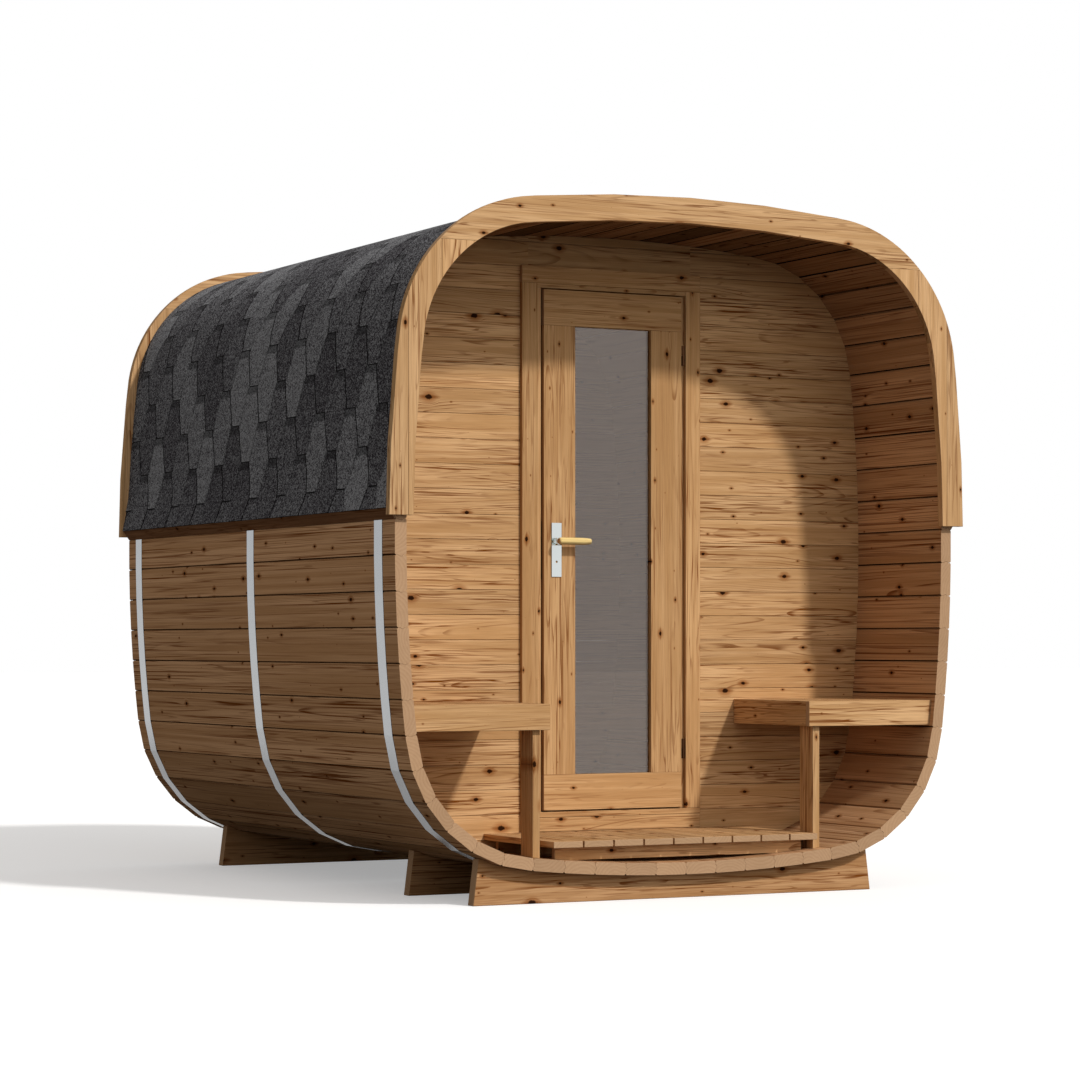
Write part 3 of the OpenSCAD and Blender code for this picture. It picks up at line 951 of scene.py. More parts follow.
@dataclass(frozen=True)
class Outline:
    """The shell's rounded square: gentle arcs on four sides, met by four corner arcs.

    A place on it is named by the direction of its normal in radians, from -pi/2 at the middle of
    the floor through 0 at the right side to pi/2 at the middle of the top.
    """

    half_width: float = 1.100
    half_height: float = 1.137
    middle: float = 1.220
    side_radius: float = 5.650
    corner_radius: float = 0.500
    staves_half: int = 33
    thickness: float = 0.042
    seat: float = 0.1 * MM

    @cached_property
    def side_centre(self) -> Vector:
        """Centre of the right side's arc."""
        return Vector((self.half_width - self.side_radius, 0.0))

    @cached_property
    def top_centre(self) -> Vector:
        """Centre of the top's arc."""
        return Vector((0.0, self.half_height - self.side_radius))

    @cached_property
    def corner_centre(self) -> Vector:
        """Centre of the corner arc that meets both."""
        between = self.top_centre - self.side_centre
        reach = math.sqrt((self.side_radius - self.corner_radius) ** 2 - (between.length / 2) ** 2)
        aside = Vector((-between.y, between.x)).normalized()
        return (self.side_centre + self.top_centre) / 2 + aside * reach

    @cached_property
    def side_end(self) -> float:
        """Normal's angle where the side arc ends."""
        return math.atan2(self.corner_centre.y, self.corner_centre.x - self.side_centre.x)

    @cached_property
    def top_start(self) -> float:
        """Normal's angle where the top arc starts."""
        return math.atan2(self.corner_centre.y - self.top_centre.y, self.corner_centre.x)

    @cached_property
    def lengths(self) -> tuple[float, float, float]:
        """Lengths of half the floor's arc, of a corner arc and of half a side's arc."""
        return (
            self.side_radius * (math.pi / 2 - self.top_start),
            self.corner_radius * (self.top_start - self.side_end),
            self.side_radius * self.side_end,
        )

    @cached_property
    def quarter(self) -> float:
        """Length of a quarter of the outline."""
        return sum(self.lengths)

    @cached_property
    def pitch(self) -> float:
        """Width of a stave along the outline."""
        return 2 * self.quarter / self.staves_half

    def point(self, angle: float, off: float = 0.0) -> Vector:
        """Returns the point of the outline, moved out by off.

        Args:
            angle: The normal's angle.
            off: How far out of the outline.

        Returns:
            The point, with 0 for Y.
        """
        size = abs(angle)
        if size <= self.side_end:
            centre, radius = self.side_centre, self.side_radius
        elif size <= self.top_start:
            centre, radius = self.corner_centre, self.corner_radius
        else:
            centre, radius = self.top_centre, self.side_radius
        high = centre.y + (radius + off) * math.sin(size)
        return Vector((
            centre.x + (radius + off) * math.cos(size), 0.0, self.middle + math.copysign(high, angle)
        ))

    def angle_at(self, length: float) -> float:
        """Finds the normal's angle.

        Args:
            length: How far along the right half, from the middle of the floor.

        Returns:
            The angle, in radians.
        """
        if length > self.quarter:
            return -self.angle_at(2 * self.quarter - length)
        floor, corner, _ = self.lengths
        if length <= floor:
            return -math.pi / 2 + length / self.side_radius
        if length <= floor + corner:
            return -self.top_start + (length - floor) / self.corner_radius
        return -(self.quarter - length) / self.side_radius

    def joint(self, number: int, off: float = 0.0) -> Vector:
        """Returns the point on a stave joint, numbered from the middle of the floor, left ones below 0."""
        spot = self.point(self.angle_at(abs(number) * self.pitch), off)
        return Vector((math.copysign(spot.x, number if number else 1), 0.0, spot.z))

    def run(self, number: int) -> Vector:
        """Finds the direction along the outline at a joint.

        Args:
            number: The joint's number.

        Returns:
            The direction, from right to left over the top.
        """
        angle = self.angle_at(abs(number) * self.pitch)
        side = 1 if number >= 0 else -1
        return Vector((-math.sin(angle), 0.0, side * math.cos(angle)))

    def fit(self, piece: Piece) -> Piece:
        """Cuts a piece to the flat inner faces of the staves.

        Args:
            piece: A piece that may reach through them.

        Returns:
            The piece.
        """
        for number in range(-self.staves_half, self.staves_half):
            first = self.joint(number, -self.thickness - self.seat)
            second = self.joint(number + 1, -self.thickness - self.seat)
            chord = (second - first).normalized()
            out = Vector((chord.z, 0.0, -chord.x))
            reach = (piece.points() - np.array(first)) @ np.array(out)
            if reach.max() > TOUCH / 2:
                piece.cut(first, out)
        return piece


OUTLINE = Outline()


@dataclass
class Assembly:
    """A sub-assembly of the building, with a source of random draws of its own."""

    dice: random.Random
    finish: Material

    def fix(self, piece: Piece, slot: str, *nodes: str) -> None:
        """Mounts a piece on the building in the main finish."""
        mount(piece, Body.BUILDING, self.finish, slot, *nodes)


@dataclass
class StaveShell(Assembly):
    """The ring of staves, each planed flat, mitred, bevelled, and jointed by a bead and a cove."""

    bevel: float = 4.0 * MM
    gap: float = 0.4 * MM
    bead: float = 5.0 * MM
    bead_low: float = 12.0 * MM
    bead_high: float = 30.0 * MM
    bead_steps: tuple[float, ...] = (0.2, 0.5, 0.8)
    spare: float = 0.03
    long_edge: float = 0.5
    # Painted shade: the staves darken from the upper corners to the middle of the ceiling.
    painted_shade: float = 2.2
    shade_from: float = 20.0
    shade_over: float = 9.0
    runs: dict[str, tuple[range, ...]] = field(default_factory=lambda: {
        "floor_staves": (range(-5, 5),),
        "left_lower_corner_staves": (range(-11, -5),),
        "right_lower_corner_staves": (range(5, 11),),
        "left_wall_staves": (range(-22, -11),),
        "right_wall_staves": (range(11, 22),),
        "left_upper_corner_staves": (range(-28, -22),),
        "right_upper_corner_staves": (range(22, 28),),
        "ceiling_staves": (range(-33, -28), range(28, 33)),
    })

    def stave(self, number: int, front: float, back: float) -> Piece:
        """Models the stave between a joint and the next.

        Args:
            number: The first joint's number.
            front: Y of the front end.
            back: Y of the back end.

        Returns:
            The stave.
        """
        first, second = OUTLINE.joint(number), OUTLINE.joint(number + 1)
        chord = (second - first).normalized()
        out = Vector((chord.z, 0.0, -chord.x))
        middle = (first + second) / 2 - out * OUTLINE.thickness / 2
        middle.y = (front + back) / 2
        deselect_all()
        bpy.ops.mesh.primitive_cube_add(
            size=1,
            location=middle,
            rotation=(0.0, math.atan2(-chord.z, chord.x), 0.0),
            scale=((second - first).length + self.spare, back - front, OUTLINE.thickness),
        )
        piece = Piece(bpy.context.object).settle()
        before, after = OUTLINE.run(number), OUTLINE.run(number + 1)
        piece.cut(first + before * self.gap, -before)
        piece.cut(second - after * self.gap, after)

        def at_depth(spot: Vector, deep: float) -> bool:
            """Says whether a point is that deep below the stave's outer face."""
            return abs((first - spot).dot(out) - deep) < NEAR

        span = self.bead_high - self.bead_low
        lines = {share: self.bead_low + share * span for share in (0.0, *self.bead_steps, 1.0)}
        for deep in lines.values():
            piece.cut(first - out * deep, out, clear=False)
        for share in self.bead_steps:
            rise = self.bead * math.sin(math.pi * share)
            piece.shift(lambda spot: at_depth(spot, lines[share]), chord * rise)
        piece.bevel_edges(
            lambda a, b: abs(a.y - b.y) > self.long_edge
            and (at_depth(a, 0.0) or at_depth(a, OUTLINE.thickness)),
            self.bevel,
        )
        return piece

    def build(self) -> None:
        """Models, marks and mounts every run of staves."""
        low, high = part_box("floor_staves")
        for node, ranges in self.runs.items():
            staves = []
            for number in [n for stretch in ranges for n in stretch]:
                stave = self.stave(number, low.y, high.y)
                across = (OUTLINE.joint(number + 1) - OUTLINE.joint(number)).normalized()
                # Painted shade, stronger towards the middle of the ceiling.
                rise = min(1.0, max(0.0, (abs(number + 0.5) - self.shade_from) / self.shade_over))
                staves.append(Lie(Y, across).mark(stave, self.dice, self.painted_shade * rise))
            self.fix(joined(staves, f"{node}_set"), "stave_wood", node)


@dataclass
class Roof(Assembly):
    """Eave boards, and hexagonal shingle tabs laid flat in courses and then bent over the shell."""

    wood: Material
    pitch: float = 0.253
    course: float = 0.137
    first_course: float = -0.061
    tab_foot: float = 0.075
    tab_waist: float = 0.178
    lean: float = -0.015
    thick_low: float = 6.5 * MM
    thick_high: float = 1.4 * MM
    slope_top: float = 1.448
    bend_step: float = math.radians(1.5)
    seat: float = 0.2 * MM
    drip: float = 4.0 * MM
    phase: float = -0.942
    row_shift: float = 0.56
    stations: int = 6
    tones: tuple[float, ...] = (0.05, 0.15, 0.35, 0.45, 0.8, 1.0)
    tone_shift: float = 0.05
    steep: float = 0.7
    side_bare: float = 0.8
    starter_thick: float = 3.5 * MM
    starter_reach: float = 0.30
    underlay_thick: float = 1.0 * MM
    strip_step: float = 0.025
    plain_lap: float = 0.4
    strip_tone: float = 0.3
    cap_width: float = 0.30
    cap_course: float = 0.150
    cap_lap: float = 1.3
    cap_low: float = 6.0 * MM
    cap_spare: float = 1.0 * MM
    cap_drop: float = 3.5 * MM
    cap_least: float = 0.02
    least: float = 0.01
    cap_tones: tuple[float, float] = (0.2, 0.9)

    def profile(self) -> list[Vector]:
        """Returns the line that the shingles lie on, from the drip edge to the middle of the top."""
        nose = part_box("right_eave_board")[1].x
        foot = Vector((nose + 0.1 * MM, 0.0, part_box("shingle_roof")[0].z + self.drip))
        start = math.asin((self.slope_top - OUTLINE.middle) / OUTLINE.side_radius)
        count = int((math.pi / 2 - start) / self.bend_step)
        bends = [start + i * (math.pi / 2 - start) / count for i in range(count + 1)]
        return [foot, *[OUTLINE.point(angle, self.seat) for angle in bends]]

    def tab(self) -> Piece:
        """Models one tab flat: X up the slope, -Y out of the roof, Z along the building.

        Returns:
            The tab.
        """
        tall = 2 * self.course
        deselect_all()
        bpy.ops.mesh.primitive_circle_add(
            vertices=6, radius=0.5, fill_type="NGON", rotation=(math.pi / 2, 0.0, 0.0)
        )
        tab = Piece(bpy.context.object).settle()
        with tab.editing():
            pick_all()
            bpy.ops.transform.resize(value=(tall / math.sqrt(0.75), 1.0, self.tab_waist))
            for side in (-1, 1):
                tab.pick_points(lambda p: p.x * side > tall / 4)
                bpy.ops.transform.resize(
                    value=(1.0, 1.0, 2 * self.tab_foot / self.tab_waist),
                    center_override=(side * tall / 2, 0.0, 0.0),
                )
            pick_all()
            bpy.ops.transform.translate(value=(tall / 2, 0.0, 0.0))
            bpy.ops.mesh.extrude_region_move(
                TRANSFORM_OT_translate={"value": (0.0, -self.thick_low, 0.0)}
            )
        tab.face_out()
        drop = self.thick_low - self.thick_high
        tab.cut(Vector((0.0, -self.thick_low, 0.0)), Vector((-drop, -tall, 0.0)).normalized())
        for i in range(1, self.stations):
            tab.cut(Vector((tall * i / self.stations, 0.0, 0.0)), X, clear=False)
        for i in range(1, self.stations + 1):
            reach = tall * i / self.stations
            aside = self.lean * i / self.stations
            tab.shift(lambda p: abs(p.x - reach) < NEAR, Vector((0.0, 0.0, aside)))
        return tab

    def coat(self, piece: Piece, lap: np.ndarray | float, tone: float, bare: np.ndarray) -> None:
        """Writes what the shingle finish reads on a piece.

        Args:
            piece: The piece.
            lap: Each point's share of the way up its tab, or one share for all.
            tone: The piece's tone.
            bare: How bare of granules each face is.
        """
        lap = np.broadcast_to(lap, len(piece.obj.data.vertices))
        piece.write("grain", "POINT", np.outer(lap, (0.0, 0.0, 1.0)))
        piece.write("board", "FACE", np.outer(bare, (0.0, 0.0, 1.0)) + (tone, 0.0, 0.0))

    def mark(self, tab: Piece, start: float) -> None:
        """Coats a tab: granules on its face, and bare on its foot and on one side.

        Args:
            tab: The tab, still flat.
            start: Where its lower edge is, up the slope.
        """
        lap = (tab.points()[:, 0] - start) / (2 * self.course)
        normals = tab.normals()
        foot, side = normals[:, 0] < -self.steep, normals[:, 2] < -self.steep
        tone = self.dice.choice(self.tones) + self.dice.uniform(-self.tone_shift, self.tone_shift)
        self.coat(tab, lap, tone, np.where(foot, 1.0, side * self.side_bare))

    def trim(self, tab: Piece, length: float) -> Piece:
        """Cuts a flat tab off at the roof's four edges.

        Args:
            tab: The tab.
            length: The roof's length up the slope.

        Returns:
            The tab, which may have nothing left.
        """
        low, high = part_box("shingle_roof")
        points = tab.points()
        for spot, normal in ((Vector(), -X), (X * length, X), (Z * low.y, -Z), (Z * high.y, Z)):
            if ((points - np.array(spot)) @ np.array(normal)).max() > TOUCH:
                tab.cut(spot, normal)
        return tab

    def half(self, side: int, curve: bpy.types.Object, length: float) -> Piece:
        """Lays one side of the roof flat and bends it over the shell.

        Args:
            side: 1 for the right side, -1 for the left.
            curve: The roof's profile.
            length: The profile's length.

        Returns:
            The side's shingles.
        """
        low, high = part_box("shingle_roof")
        master = self.tab()
        tabs = [
            self.strip(0.0, self.starter_reach, self.starter_thick, False),
            self.strip(self.starter_reach, length, self.underlay_thick, True),
        ]
        start = self.first_course
        row = 0
        while start < length - self.least:
            begin = self.phase - row * self.row_shift * self.pitch
            begin -= math.ceil((begin - low.y) / self.pitch + 1) * self.pitch
            for i in range(int((high.y - low.y) / self.pitch) + 4):
                along = begin + i * self.pitch
                if not low.y - self.pitch / 2 < along < high.y + self.pitch / 2:
                    continue
                tab = self.trim(master.copy(Vector((start, 0.0, along))), length)
                if tab.gone():
                    continue
                self.mark(tab, start)
                tabs.append(tab)
            start += self.course
            row += 1
        master.remove()
        whole = joined(tabs, "shingle_tabs_right" if side > 0 else "shingle_tabs_left")
        whole.modify("CURVE", object=curve, deform_axis="POS_X")
        whole.obj.data.transform(Matrix(((side, 0, 0, 0), (0, 0, 1, 0), (0, 1, 0, 0), (0, 0, 0, 1))))
        return whole.face_out()

    def strip(self, start: float, end: float, thick: float, bare: bool) -> Piece:
        """Models a flat strip of sheet, as long as the roof, that lies under the tabs.

        Args:
            start: Its lower edge, up the slope.
            end: Its upper edge.
            thick: Its thickness.
            bare: Whether it is black sheet without granules.

        Returns:
            The strip.
        """
        low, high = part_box("shingle_roof")
        strip = Piece.block((start, -thick, low.y), (end, 0.0, high.y))
        count = math.ceil((end - start) / self.strip_step)
        for i in range(1, count):
            strip.cut(X * (start + (end - start) * i / count), X, clear=False)
        edge = np.abs(strip.normals()[:, 1]) < self.steep
        self.coat(strip, self.plain_lap, self.strip_tone, edge | bare)
        return strip

    def ridge(self) -> Piece:
        """Models the cap shingles along the ridge, each lapped over the last.

        Returns:
            The caps.
        """
        low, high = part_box("shingle_roof")
        half, top = self.cap_width / 2, high.z
        droop = half ** 2 / (2 * OUTLINE.side_radius)
        caps = []
        start = low.y
        while start < high.y - self.cap_least:
            end = min(start + self.cap_course * self.cap_lap, high.y)
            cap = Piece.block((-half, start, top), (half, end, top + self.cap_low + self.cap_spare))
            slope = Vector((0.0, self.cap_drop, end - start)).normalized()
            cap.cut(Vector((0.0, start, top + self.cap_low)), slope)
            for x in (-half / 2, half / 2):
                cap.cut(X * x, X, clear=False)
            cap.shift(lambda p: abs(p.x) > half - TOUCH, Z * -droop)
            edge = np.abs(cap.normals()[:, 2]) < self.steep
            self.coat(cap, self.plain_lap, self.dice.uniform(*self.cap_tones), edge)
            caps.append(cap)
            start += self.cap_course
        return joined(caps, "ridge_caps")

    def build(self) -> None:
        """Models and mounts the shingles and the eave boards."""
        line = self.profile()
        length = sum((b - a).length for a, b in zip(line, line[1:]))
        data = bpy.data.curves.new("roof_profile", "CURVE")
        data.dimensions = "2D"
        spline = data.splines.new("POLY")
        spline.points.add(len(line) - 1)
        for point, spot in zip(spline.points, line):
            point.co = (spot.x, spot.z, 0.0, 1.0)
        curve = show("roof_profile", data)
        covers = [self.half(1, curve, length), self.half(-1, curve, length)]
        bpy.data.objects.remove(curve)
        for cover in (*covers, self.ridge()):
            self.fix(cover, "shingle", "shingle_roof")
        for node in ("left_eave_board", "right_eave_board"):
            board = DEEP_BOARD.mark(Piece.of_node(node), self.dice)
            mount(joined([board], f"{node}_planed"), Body.BUILDING, self.wood, "trim_wood", node)


@dataclass
class Fascia(Assembly):
    """The arches at both ends: upright planks up the legs and level planks over the top."""

    plank_joints: tuple[float, ...] = (0.942, 1.064)
    beyond: float = 2.0
    gap: float = 0.25 * MM
    ease: float = 1.2 * MM

    def leg(self, node: str) -> Piece:
        """Splits a leg into its upright planks.

        Args:
            node: The leg's CAD node.

        Returns:
            The planks as one piece.
        """
        whole = Piece.of_node(node)
        side = -1 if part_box(node)[0].x < 0 else 1
        edges = (0.0, *self.plank_joints, self.beyond)
        planks = []
        for inner, outer in zip(edges, edges[1:]):
            plank = whole.copy(Vector())
            plank.cut(X * side * (inner + self.gap), -X * side)
            if len(plank.points()):
                plank.cut(X * side * (outer - self.gap), X * side)
            if not plank.gone():
                planks.append(UPRIGHT.mark(plank.ease(self.ease), self.dice))
        whole.remove()
        return joined(planks, f"{node}_planks")

    def top(self, node: str) -> Piece:
        """Eases the top and marks it as level planks."""
        plank = LEVEL_BOARD.mark(Piece.of_node(node).ease(self.ease), self.dice)
        return joined([plank], f"{node}_planks")

    def build(self) -> None:
        """Models and mounts both arches."""
        for end in ("front", "rear"):
            for side in ("left", "right"):
                node = f"{end}_fascia_{side}"
                self.fix(self.leg(node), "trim_wood", node)
            node = f"{end}_fascia_top"
            self.fix(self.top(node), "trim_wood", node)


# ---- walls ----


@dataclass
class BoardWalls(Assembly):
    """Front and rear walls of level boards, bevelled along their joints and scribed to the staves."""

    cover: float = 87.5 * MM
    datum: float = 1.322
    bevel: float = 1.6 * MM
    gap: float = 0.2 * MM
    nodes: tuple[str, ...] = (
        "front_wall_left", "front_wall_right", "front_wall_over_door", "front_wall_under_door", "rear_wall"
    )

    def boards(self, node: str) -> list[Piece]:
        """Models the boards of one wall.

        Args:
            node: The wall's CAD node.

        Returns:
            The boards, from the lowest up.
        """
        low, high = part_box(node)
        first = math.floor((low.z - self.datum) / self.cover)
        last = math.ceil((high.z - self.datum) / self.cover)
        boards = []
        for number in range(first, last):
            bottom = self.datum + number * self.cover
            z0 = max(low.z, bottom + self.gap)
            z1 = min(high.z, bottom + self.cover - self.gap)
            if z1 - z0 < 3 * self.bevel:
                continue
            board = OUTLINE.fit(Piece.block((low.x, low.y, z0), (high.x, high.y, z1)))
            if board.gone():
                continue
            board.bevel_edges(
                lambda a, b: abs(a.z - b.z) < TOUCH and abs(a.y - b.y) < TOUCH
                and min(abs(a.z - z0), abs(a.z - z1)) < TOUCH,
                self.bevel,
            )
            boards.append(LEVEL_BOARD.mark(board, self.dice))
        return boards

    def build(self) -> None:
        """Models and mounts every wall."""
        for node in self.nodes:
            self.fix(joined(self.boards(node), f"{node}_boards"), "board_wood", node)


@dataclass
class BoardWork(Assembly):
    """Work made of plain boards with eased edges, collected and joined into one piece at a time."""

    slot: str = "board_wood"
    body: Body = Body.BUILDING
    pending: list[Piece] = field(default_factory=list)

    def add(
        self, low: Sequence[float], high: Sequence[float], lie: Lie, fit: bool = False, ease: float = 1.5 * MM
    ) -> None:
        """Adds a board.

        Args:
            low: Its lowest corner.
            high: Its highest corner.
            lie: How its grain lies.
            fit: Whether it is cut to the inside of the shell.
            ease: How far its edges are eased.
        """
        board = Piece.block(low, high)
        if fit:
            OUTLINE.fit(board)
        self.pending.append(lie.mark(board.ease(ease), self.dice))

    def assemble(self, name: str, node: str) -> None:
        """Joins the boards and mounts them under the name, for the CAD node that they stand for."""
        mount(joined(self.pending, name), self.body, self.finish, self.slot, node)
        self.pending = []


@dataclass
class DoorFrame(BoardWork):
    """Jambs with their stops and lips, head, sill and casing."""

    slot: str = "door_wood"
    stop: float = 24 * MM
    rebate: float = 23 * MM
    casing: float = 61 * MM
    bare: float = 16 * MM
    lip_clear: float = 1 * MM
    lip_ease: float = 1 * MM

    def jambs(self) -> None:
        """Models the jambs; the left one has a lip inside the casing."""
        left_low, left_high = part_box("left_jamb")
        low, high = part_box("right_jamb")
        inner = low.x + self.stop
        self.add((inner, low.y, low.z), high, UPRIGHT)
        self.add((low.x, low.y + self.rebate, low.z), (inner, high.y, high.z), UPRIGHT)
        self.assemble("right_jamb_post", "right_jamb")
        self.add((left_low.x, low.y, low.z), (-inner, high.y, high.z), UPRIGHT)
        self.add((-inner, low.y + self.rebate, low.z), (left_high.x, high.y, high.z), UPRIGHT)
        self.add(
            (-inner - self.bare, left_low.y, low.z), (-inner - self.lip_clear, low.y, high.z), UPRIGHT,
            ease=self.lip_ease,
        )
        self.assemble("left_jamb_post", "left_jamb")

    def head(self) -> None:
        """Models the head with its stop and lip."""
        low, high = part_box("door_head")
        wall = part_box("right_jamb")[0]
        inner = wall.x + self.stop
        bottom = low.z + self.stop
        self.add((low.x, wall.y, bottom), high, LEVEL_BOARD)
        self.add((-wall.x, wall.y + self.rebate, low.z), (wall.x, high.y, bottom), LEVEL_BOARD)
        self.add(
            (-inner - self.bare, low.y, bottom), (inner + self.bare, wall.y, bottom + self.bare), LEVEL_BOARD,
            ease=self.lip_ease,
        )
        self.assemble("door_head_rail", "door_head")

    def surround(self) -> None:
        """Models the sill and the casing with its plinth board."""
        sill_low, sill_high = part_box("door_sill")
        self.add(sill_low, sill_high, LEVEL_SLAT)
        self.assemble("door_sill_plank", "door_sill")
        low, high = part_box("door_casing")
        over = high.z - self.casing
        self.add((low.x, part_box("left_jamb")[0].y, low.z), (high.x, high.y, sill_low.z), LEVEL_BOARD)
        self.add((low.x, low.y, sill_low.z), (high.x, high.y, sill_high.z), LEVEL_BOARD)
        self.add((low.x, low.y, sill_high.z), (low.x + self.casing, high.y, over), UPRIGHT)
        self.add((high.x - self.casing, low.y, sill_high.z), (high.x, high.y, over), UPRIGHT)
        self.add((low.x, low.y, over), high, LEVEL_BOARD)
        self.assemble("door_casing_boards", "door_casing")

    def build(self) -> None:
        """Models and mounts the frame."""
        self.jambs()
        self.head()
        self.surround()


@dataclass
class Door(Assembly):
    """Leaf of two stiles between two full-width rails, its glass, and its furniture."""

    glass: Material
    plated: Material
    hinge: Material
    grip: Material
    stile: float = 126 * MM
    leaf_ease: float = 1.0 * MM
    plate_ease: float = 0.9 * MM
    grip_round: float = 0.55
    grip_steps: tuple[float, ...] = (0.25, 0.5, 0.75)
    grip_tip: float = 0.8
    grip_taper: float = 0.82
    collar: float = 12.5 * MM
    collar_length: float = 9 * MM

    def leaf(self) -> None:
        """Models the leaf."""
        low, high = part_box("door_leaf")
        bottom, top = low.z + self.stile, high.z - self.stile
        work = BoardWork(self.dice, self.finish, "door_wood", Body.DOOR)
        for start, end, lie in (
            (low, (high.x, high.y, bottom), LEVEL_BOARD),
            ((low.x, low.y, top), high, LEVEL_BOARD),
            ((low.x, low.y, bottom), (low.x + self.stile, high.y, top), UPRIGHT),
            ((high.x - self.stile, low.y, bottom), (high.x, high.y, top), UPRIGHT),
        ):
            work.add(start, end, lie, ease=self.leaf_ease)
        work.assemble("door_leaf_frame", "door_leaf")

    def plates(self) -> None:
        """Models the handle plates with eased edges."""
        plates = Piece.of_node("handle_plates").ease(self.plate_ease, 3)
        mount(joined([plates], "handle_plate_pair"), Body.DOOR, self.plated, "handle_steel", "handle_plates")

    def grip_end(self, y: float) -> Piece:
        """Models the wooden grip on one side of the leaf, rounded at its ends and thinner at its tip.

        Args:
            y: Y of its axis.

        Returns:
            The grip.
        """
        low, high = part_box("lever_grips")
        length = high.x - low.x
        radius = (high.z - low.z) / 2
        level = self.lever_axis().z
        grip = Piece.rod(Vector(((low.x + high.x) / 2, y, level)), X, radius, length)
        for share in self.grip_steps:
            grip.cut(Vector((low.x + length * share, 0.0, 0.0)), X, clear=False)
        grip.bevel_edges(
            lambda a, b: abs(a.x - b.x) < TOUCH and min(abs(a.x - low.x), abs(a.x - high.x)) < TOUCH,
            radius * self.grip_round, 4,
        )
        with grip.editing():
            grip.pick_points(lambda p: p.x > low.x + length * self.grip_tip)
            bpy.ops.transform.resize(
                value=(1.0, self.grip_taper, self.grip_taper), center_override=(high.x, y, level)
            )
        return LEVEL_BOARD.mark(grip, self.dice)

    def lever_axis(self) -> Vector:
        """Returns the middle of the lever's spindle."""
        low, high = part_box("lever_spindle")
        return (low + high) / 2

    def lever(self) -> None:
        """Turns the wooden grips and the steel collars on the spindle."""
        low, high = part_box("lever_grips")
        axis = self.lever_axis()
        radius = (high.z - low.z) / 2
        grips, collars = [], []
        for y, side in ((low.y + radius, -1), (high.y - radius, 1)):
            grips.append(self.grip_end(y))
            neck = Vector((axis.x, y - side * (radius + self.collar_length / 2), axis.z))
            collars.append(Piece.rod(neck, Y, self.collar, self.collar_length).ease())
        grips = joined(grips, "lever_grip_pair")
        collars = joined(collars, "lever_collars")
        for piece in (grips, collars):
            piece.select()
            bpy.ops.object.shade_smooth_by_angle(angle=ROUND)
        mount(grips, Body.LEVER, self.grip, "grip_wood", "lever_grips")
        mount(collars, Body.LEVER, self.plated, "handle_steel")

    def build(self) -> None:
        """Models and mounts the door."""
        self.leaf()
        self.plates()
        self.lever()
        for node, material in (
            ("door_glass", self.glass), ("lock_plate", self.plated), ("lever_spindle", self.plated),
            ("frame_hinges", self.hinge), ("leaf_hinges", self.hinge),
        ):
            dress_node(node, material)


# ---- porch and room ----


@dataclass
class Benches(BoardWork):
    """The porch benches: a front apron, a side apron and five seat boards that run to the wall."""

    apron: float = 21 * MM
    board: float = 28 * MM
    slat: float = 111 * MM
    slat_gap: float = 5 * MM
    post_spare: float = 0.05

    def bench(self, side: int) -> None:
        """Models the bench and the post on one side.

        Args:
            side: 1 for the right side, -1 for the left.
        """
        node = "right_bench" if side > 0 else "left_bench"
        low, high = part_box(node)
        inner, outer = (low.x, high.x) if side > 0 else (high.x, low.x)
        behind = low.y + self.apron
        self.add((low.x, low.y, low.z), (high.x, behind, high.z), LEVEL_BOARD, fit=True)
        x0, x1 = sorted((inner, inner + side * self.board))
        self.add((x0, behind, low.z), (x1, high.y, high.z), DEEP_BOARD)
        start = inner + side * self.board
        while (outer - start) * side > 3 * self.slat_gap:
            x0, x1 = sorted((start, start + side * self.slat))
            self.add((x0, behind, high.z - self.board), (x1, high.y, high.z), DEEP_SLAT, fit=True)
            start += side * (self.slat + self.slat_gap)
        self.assemble(f"{node}_boards", node)
        low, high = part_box(f"{node}_post")
        self.add((low.x, low.y, low.z - self.post_spare), high, UPRIGHT, fit=True)
        self.assemble(f"{node}_post_leg", f"{node}_post")

    def build(self) -> None:
        """Models and mounts both benches."""
        for side in (-1, 1):
            self.bench(side)


@dataclass
class Duckboards(BoardWork):
    """The porch deck and the room's floor: boards from front to back on bearers."""

    board: float = 111 * MM
    gap: float = 6 * MM
    thick: float = 22 * MM
    bearer: float = 21 * MM
    bearer_deep: float = 46 * MM
    deck_bearers: tuple[float, ...] = (0.055, 0.247, 0.469)
    deck_half: float = 0.491
    room_bearers: tuple[float, ...] = (0.06, 0.46, 0.86, 1.26, 1.66)
    room_half: float = 0.620

    def duckboard(self, node: str, bearers: Sequence[float], half: float) -> None:
        """Models one duckboard.

        Args:
            node: Its CAD node.
            bearers: How far each bearer is from the boards' front ends.
            half: Half the bearers' length.
        """
        low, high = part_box(node)
        pitch = self.board + self.gap
        middle = (low.x + high.x) / 2
        top = high.z - self.thick
        for i in range(round((high.x - low.x + self.gap) / pitch)):
            x = low.x + i * pitch
            self.add((x, low.y, top), (x + self.board, high.y, high.z), DEEP_SLAT)
        for off in bearers:
            y = low.y + off
            self.add(
                (middle - half, y, top - self.bearer_deep), (middle + half, y + self.bearer, top),
                LEVEL_BOARD, fit=True,
            )
        self.assemble(f"{node}_boards", node)

    def build(self) -> None:
        """Models and mounts the porch deck and the room's floor."""
        self.duckboard("porch_deck", self.deck_bearers, self.deck_half)
        self.duckboard("room_floor", self.room_bearers, self.room_half)


